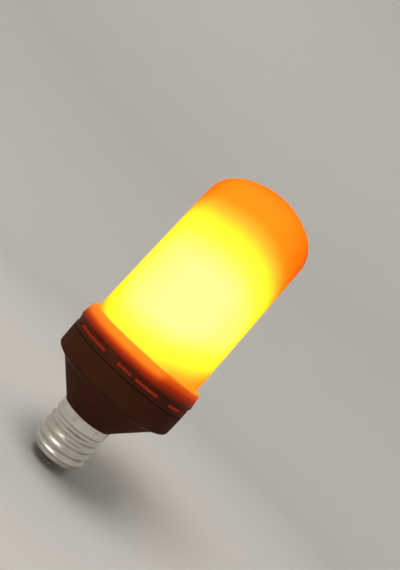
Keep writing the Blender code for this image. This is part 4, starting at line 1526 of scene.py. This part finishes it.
    def surface(self) -> Surface:
        """Turn the section, and stand the posts and the board's rails in it.

        Returns:
            The housing, with a dim red glow on what faces the inside.
        """
        corners = self.outer_line() + self.inner_line()
        shell = lathe(filled_in(rounded(corners, self.round_steps), self.row), self.columns)
        across = shell.across()
        floor = np.maximum(self.floor_height(across), self.neck + self.lit_past_neck)
        inside = (across < self.tongue_bore + self.lit_past_tongue) & (shell.points[:, 2] > floor)
        shell = shell.with_glow(np.where(inside, self.dim_red, 0.0))
        posts = [
            self.post(self.post_turn + index * 360.0 / self.post_count).with_glow(self.dim_red)
            for index in range(self.post_count)
        ]
        rails = [self.rail(side, face) for side in (1, -1) for face in (1, -1)]
        return shell.plus(*posts, *rails)

    def finish(self) -> Finish:
        """Grained housing plastic, lit red inside."""
        return Plastic.HOUSING.value


@dataclass
class ScrewShell(Piece):
    """Rolled metal shell with a knuckle thread, a crimped band and a turned-in foot."""

    name: str = "rolled_cap_shell"
    node: str = "screw_shell"
    slot: str = "nickel_plate"
    crease: float = 50.0
    root: float = 12.25
    depth: float = 0.95
    pitch: float = 3.63
    thread_foot: float = 6.1
    thread_top: float = 21.7
    run: float = 1.5
    start: float = 90.0
    top: float = 25.6
    foot: float = 4.3
    lip_radius: float = 9.3
    foot_round: float = 1.8
    wall: float = 0.4
    crimp_middle: float = 23.65
    crimp_depth: float = 0.7
    crimp_width: float = 0.95
    crimp_height: float = 0.8
    crimp_count: int = 7
    columns: int = 168
    row: float = 0.16
    outer_steps: int = 9
    inner_steps: int = 7

    def rise(self, bearing: np.ndarray, height: np.ndarray) -> np.ndarray:
        """How far the rolled wall stands out of the thread's root.

        A cosine wave along the axis that climbs one pitch a turn, which runs out to nothing at
        the foot and rises into the plain band at the top.

        Args:
            bearing: Bearing of each column.
            height: Height of each ring.

        Returns:
            The rise of each point, as rings by columns.
        """
        turn = (bearing - self.start) / 360.0
        climb = (height - self.thread_foot) / self.pitch - turn
        wave = 0.5 - 0.5 * np.cos(2.0 * np.pi * climb)
        run_in = Fade(self.thread_foot, self.run).at(height)
        band = Fade(self.thread_top - self.run, self.run).at(height)
        return self.depth * np.maximum(wave * run_in, band)

    def dent(self, bearing: np.ndarray, height: np.ndarray) -> np.ndarray:
        """How deep the crimp marks are pressed in: a round hollow at each of their bearings.

        A hollow's depth falls off as the exponential of less the squares of the distances across
        and up from its middle.

        Args:
            bearing: Bearing of each column.
            height: Height of each ring.

        Returns:
            The depth at each point, as rings by columns.
        """
        step = 360.0 / self.crimp_count
        away = np.abs((bearing - self.start + step / 2) % step - step / 2)
        across = np.radians(away) * self.root / self.crimp_width
        up = (height - self.crimp_middle) / self.crimp_height
        return self.crimp_depth * np.exp(-(across**2) - up**2)

    def surface(self) -> Surface:
        """Rings up the outside and down the inside, moved out by the thread and in by the crimps.

        Returns:
            The shell.
        """
        centre = (self.root - self.foot_round, self.thread_foot)
        outside = arc(centre, self.foot_round, -90.0, 0.0, self.outer_steps)
        inside = arc(centre, self.foot_round - self.wall, 0.0, -90.0, self.inner_steps)
        bore = self.root - self.wall
        up = np.arange(self.thread_foot, self.top, self.row)[1:]
        down = np.arange(self.thread_foot, self.top, self.row * 2)[:0:-1]
        line = np.vstack((
            [(self.lip_radius, self.foot + self.wall), (self.lip_radius, self.foot)],
            outside,
            np.column_stack((np.full_like(up, self.root), up)),
            [(self.root, self.top), (bore, self.top)],
            np.column_stack((np.full_like(down, bore), down)),
            inside,
        ))
        bearing = np.arange(self.columns) * 360.0 / self.columns
        height = line[:, 1:]
        moved = self.rise(bearing, height) - self.dent(bearing, height)
        moved = np.where(height < self.thread_foot + 1e-6, 0.0, moved)
        return rings(bearing, line[:, :1] + moved, height, closed=True)

    def finish(self) -> Finish:
        """Nickel plate."""
        return PlatedMetal(
            "nickel_plate", (0.70, 0.67, 0.62), (0.60, 0.56, 0.50), roughness=0.33, spot=6.0
        )


@dataclass
class CapInsulator(Piece):
    """Black insulating cone between the shell and the centre contact."""

    name: str = "black_cap_insulator"
    node: str = "cap_insulator"
    slot: str = "black_insulator"
    columns: int = 96
    row: float = 0.5
    round_steps: int = 4
    corners: tuple[Corner, ...] = (
        (1.4, 1.5, 0.1), (5.2, 1.5, 0.3), (9.6, 3.7, 0.12), (9.6, 4.0, 0.1), (9.0, 4.0, 0.0),
        (9.0, 5.0, 0.0), (10.4, 5.0, 0.1), (10.4, 6.5, 0.3), (1.4, 6.5, 0.1),
    )

    def surface(self) -> Surface:
        """Turn the insulator's rounded section."""
        line = rounded(list(self.corners), self.round_steps)
        return lathe(filled_in(line, self.row), self.columns)

    def finish(self) -> Finish:
        """Glazed black."""
        return GlossInsulator("black_insulator")


@dataclass
class CentreContact(Piece):
    """Rivet in the middle of the insulator, tinned, with a shallow punch mark."""

    name: str = "tinned_contact"
    node: str = "centre_contact"
    slot: str = "tinned_brass"
    radius: float = 4.6
    edge: float = 0.6
    thickness: float = 1.2
    head_edge: float = 0.15
    stem_radius: float = 1.1
    stem_top: float = 6.8
    stem_edge: float = 0.2
    punch_radius: float = 1.3
    punch_depth: float = 0.35
    columns: int = 64
    row: float = 0.5
    punch_rings: int = 12
    edge_steps: int = 8

    def surface(self) -> Surface:
        """Turn the rivet from the punch mark's middle out over the head and up the stem.

        The punch mark is a hollow whose depth falls smoothly to nothing at its radius.

        Returns:
            The rivet.
        """
        out = np.linspace(0.0, self.punch_radius, self.punch_rings)
        depth = self.punch_depth * (1.0 - Fade(0.0, self.punch_radius).at(out))
        centre = (self.radius - self.edge, self.edge)
        rim = arc(centre, self.edge, -90.0, 0.0, self.edge_steps)
        head_and_stem = [
            (self.radius, self.thickness - self.head_edge),
            (self.radius - self.head_edge, self.thickness),
            (self.stem_radius, self.thickness),
            (self.stem_radius, self.stem_top - self.stem_edge),
            (self.stem_radius - self.stem_edge, self.stem_top),
            (0.0, self.stem_top),
        ]
        line = np.vstack((np.column_stack((out, depth)), rim, head_and_stem))
        return lathe(filled_in(line, self.row, closed=False), self.columns, closed=False)

    def finish(self) -> Finish:
        """Tinned brass."""
        return PlatedMetal(
            "tinned_brass", (0.74, 0.70, 0.62), (0.60, 0.47, 0.26), roughness=0.34, spot=1.4
        )


def inner_finishes() -> dict[str, Finish]:
    """Pair each inner node with its finish.

    Returns:
        The finishes by the nodes' names.
    """
    black, black_bloom = (0.020, 0.020, 0.021), (0.055, 0.054, 0.052)
    red, red_bloom = (0.45, 0.028, 0.020), (0.55, 0.07, 0.05)
    zinc = PlatedMetal("zinc_steel", (0.60, 0.61, 0.62), (0.42, 0.41, 0.38), roughness=0.32)
    chip = Resin("chip_black", black, black_bloom, roughness=0.6, grain=0.18)
    sleeve = Sleeve("capacitor_sleeve", (0.030, 0.034, 0.050))
    return {
        **dict.fromkeys(("base_plate", "led_core_tube", "core_top_cap"), Plastic.INNER.value),
        "led_connector": Plastic.CONNECTOR.value,
        **dict.fromkeys(("plate_screw_1", "plate_screw_2", "plate_screw_3", "tilt_sensor"), zinc),
        "led_matrix_board": LedFlex("led_flex_board"),
        "controller_board": CircuitBoard("circuit_board"),
        "driver_board": CircuitBoard("driver_circuit_board"),
        "pattern_chip": Resin("pattern_chip", black, black_bloom, roughness=0.6, grain=0.18),
        "bridge_rectifier": chip,
        "driver_chip": chip,
        "bulk_capacitor": sleeve,
        "output_capacitor": sleeve,
        "film_capacitor": Resin(
            "film_capacitor_red",
            (0.36, 0.030, 0.018),
            (0.46, 0.075, 0.045),
            roughness=0.28,
            grain=0.6,
        ),
        "power_inductor": Resin(
            "ferrite", (0.045, 0.042, 0.040), (0.085, 0.078, 0.072), roughness=0.55, grain=0.25
        ),
        "fusible_resistor": Resin(
            "resistor_body",
            (0.42, 0.33, 0.22),
            (0.52, 0.43, 0.31),
            roughness=0.45,
            band=(0.16, 0.05, 0.02),
        ),
        "live_wire": Resin("red_insulation", red, red_bloom, roughness=0.4),
        "positive_lead": Resin("red_lead", red, red_bloom, roughness=0.4),
        "neutral_wire": Resin(
            "white_insulation", (0.70, 0.69, 0.66), (0.60, 0.58, 0.54), roughness=0.4
        ),
        "negative_lead": Resin(
            "black_lead", (0.020, 0.020, 0.020), (0.05, 0.05, 0.05), roughness=0.4
        ),
    }


@dataclass
class InnerWorks:
    """The pieces inside the lamp, which keep their CAD solids and get a finish of their kind."""

    finishes: dict[str, Finish] = field(default_factory=inner_finishes)
    # painted light: a red glow on the finishes of the parts in red_lit, for the flame's light
    # inside the closed chamber
    red: Colour = (0.175, 0.014, 0.006)
    red_lit: tuple[str, ...] = (
        "driver_board", "bulk_capacitor", "film_capacitor", "power_inductor", "bridge_rectifier",
        "fusible_resistor", "live_wire", "positive_lead", "neutral_wire", "negative_lead",
    )

    def dress(self) -> None:
        """Put each finish on its node, one material for each distinct finish, some of them with a
        painted red glow.
        """
        made = {}
        for name, finish in self.finishes.items():
            if finish.name not in made:
                made[finish.name] = finish.material(self.red if name in self.red_lit else None)
            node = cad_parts[name]
            node.data.materials.clear()
            node.data.materials.append(made[finish.name])
            log.info("%s: %s", name, finish.name)


# Studio


@dataclass
class Studio:
    """Camera at the photograph's angle, a pale floor that curves up into a wall, and soft light.

    The camera's clipping and the key light's place, aim and side are in metres.
    """

    focal: float = 27.158
    sensor: float = 36.0
    clip: Range = (0.005, 20.0)
    pitch: float = 7.1
    roll: float = 47.9
    distance: float = 202.1
    aim: Corner = (-1.74, 0.0, 102.3)
    floor_radius: float = 520.0
    bowl_radius: float = 900.0
    bowl_height: float = 1700.0
    bowl_wall: float = 20.0
    bowl_columns: int = 96
    bowl_steps: int = 32
    greys: tuple[Colour, ...] = ((0.575, 0.565, 0.545), (0.590, 0.580, 0.560))
    floor_grain: float = 4.0
    key_place: Corner = (-0.45, -0.55, 1.25)
    key_aim: Corner = (0.0, 0.0, 0.08)
    key_side: float = 0.8
    key_power: float = 16.0
    key_colour: Colour = (1.0, 0.98, 0.95)
    fill: float = 0.45
    fill_colour: Colour = (1.0, 0.99, 0.97)

    def camera(self) -> None:
        """Place the camera: looking at its aim from below by the pitch, and turned by the roll."""
        pitch, roll = math.radians(self.pitch), math.radians(self.roll)
        look = Vector((0.0, math.cos(pitch), math.sin(pitch)))
        up = Vector((0.0, -math.sin(pitch), math.cos(pitch)))
        side = Vector((1.0, 0.0, 0.0))
        right = up * math.cos(roll) + side * math.sin(roll)
        top = up * math.sin(roll) - side * math.cos(roll)
        place = (Vector(self.aim) - look * self.distance) * MM
        data = bpy.data.cameras.new("camera")
        data.sensor_fit = "AUTO"
        data.sensor_width = self.sensor
        data.lens = self.focal
        data.clip_start, data.clip_end = self.clip
        camera = bpy.data.objects.new("camera", data)
        axes = Matrix((right, top, -look)).transposed().to_4x4()
        camera.matrix_world = Matrix.Translation(place) @ axes
        bpy.context.scene.collection.objects.link(camera)
        bpy.context.scene.camera = camera

    def backdrop(self) -> None:
        """Turn the floor, its wide sweep and the wall as one bowl with a thick wall."""
        sweep = self.bowl_radius - self.floor_radius
        curve = arc((self.floor_radius, sweep), sweep, 0.0, -90.0, self.bowl_steps)
        outside = [
            (0.0, -self.bowl_wall),
            (self.bowl_radius + self.bowl_wall, -self.bowl_wall),
            (self.bowl_radius + self.bowl_wall, self.bowl_height),
            (self.bowl_radius, self.bowl_height),
        ]
        line = np.vstack((outside, curve, [(self.floor_radius / 2, 0.0), (0.0, 0.0)]))
        bowl = lathe(line, self.bowl_columns, closed=False).to_object("backdrop", 40.0)
        recipe = Recipe("backdrop")
        recipe.set(
            Base_Color=recipe.cloudy(recipe.noise(self.floor_grain, detail=2.0), self.greys),
            Roughness=0.9,
            Specular_IOR_Level=0.2,
        )
        bowl.data.materials.append(recipe.material)

    def light(self) -> None:
        """Hang the square soft key light that faces the bulb, and set the sky's even light."""
        data = bpy.data.lights.new("key", "AREA")
        data.shape = "SQUARE"
        data.size = self.key_side
        data.energy = self.key_power
        data.color = self.key_colour
        key = bpy.data.objects.new("key", data)
        away = Vector(self.key_place) - Vector(self.key_aim)
        key.location = self.key_place
        key.rotation_euler = away.to_track_quat("Z", "Y").to_euler()
        bpy.context.scene.collection.objects.link(key)
        world = bpy.data.worlds.new("studio")
        world.use_nodes = True
        sky = world.node_tree.nodes["Background"]
        sky.inputs["Color"].default_value = (*self.fill_colour, 1.0)
        sky.inputs["Strength"].default_value = self.fill
        bpy.context.scene.world = world
        bpy.context.scene.view_settings.view_transform = "Standard"

    def build(self) -> None:
        """Camera first, then the backdrop and the light."""
        self.camera()
        self.backdrop()
        self.light()
        log.info("studio: camera, backdrop and light")


def main() -> None:
    """Build the lamp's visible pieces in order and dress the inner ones."""
    logging.basicConfig(level=logging.INFO, format="%(message)s")
    Studio().build()
    for kind in (Diffuser, VentCollar, Housing, ScrewShell, CapInsulator, CentreContact):
        kind().make()
    InnerWorks().dress()


if __name__ == "__main__":
    main()
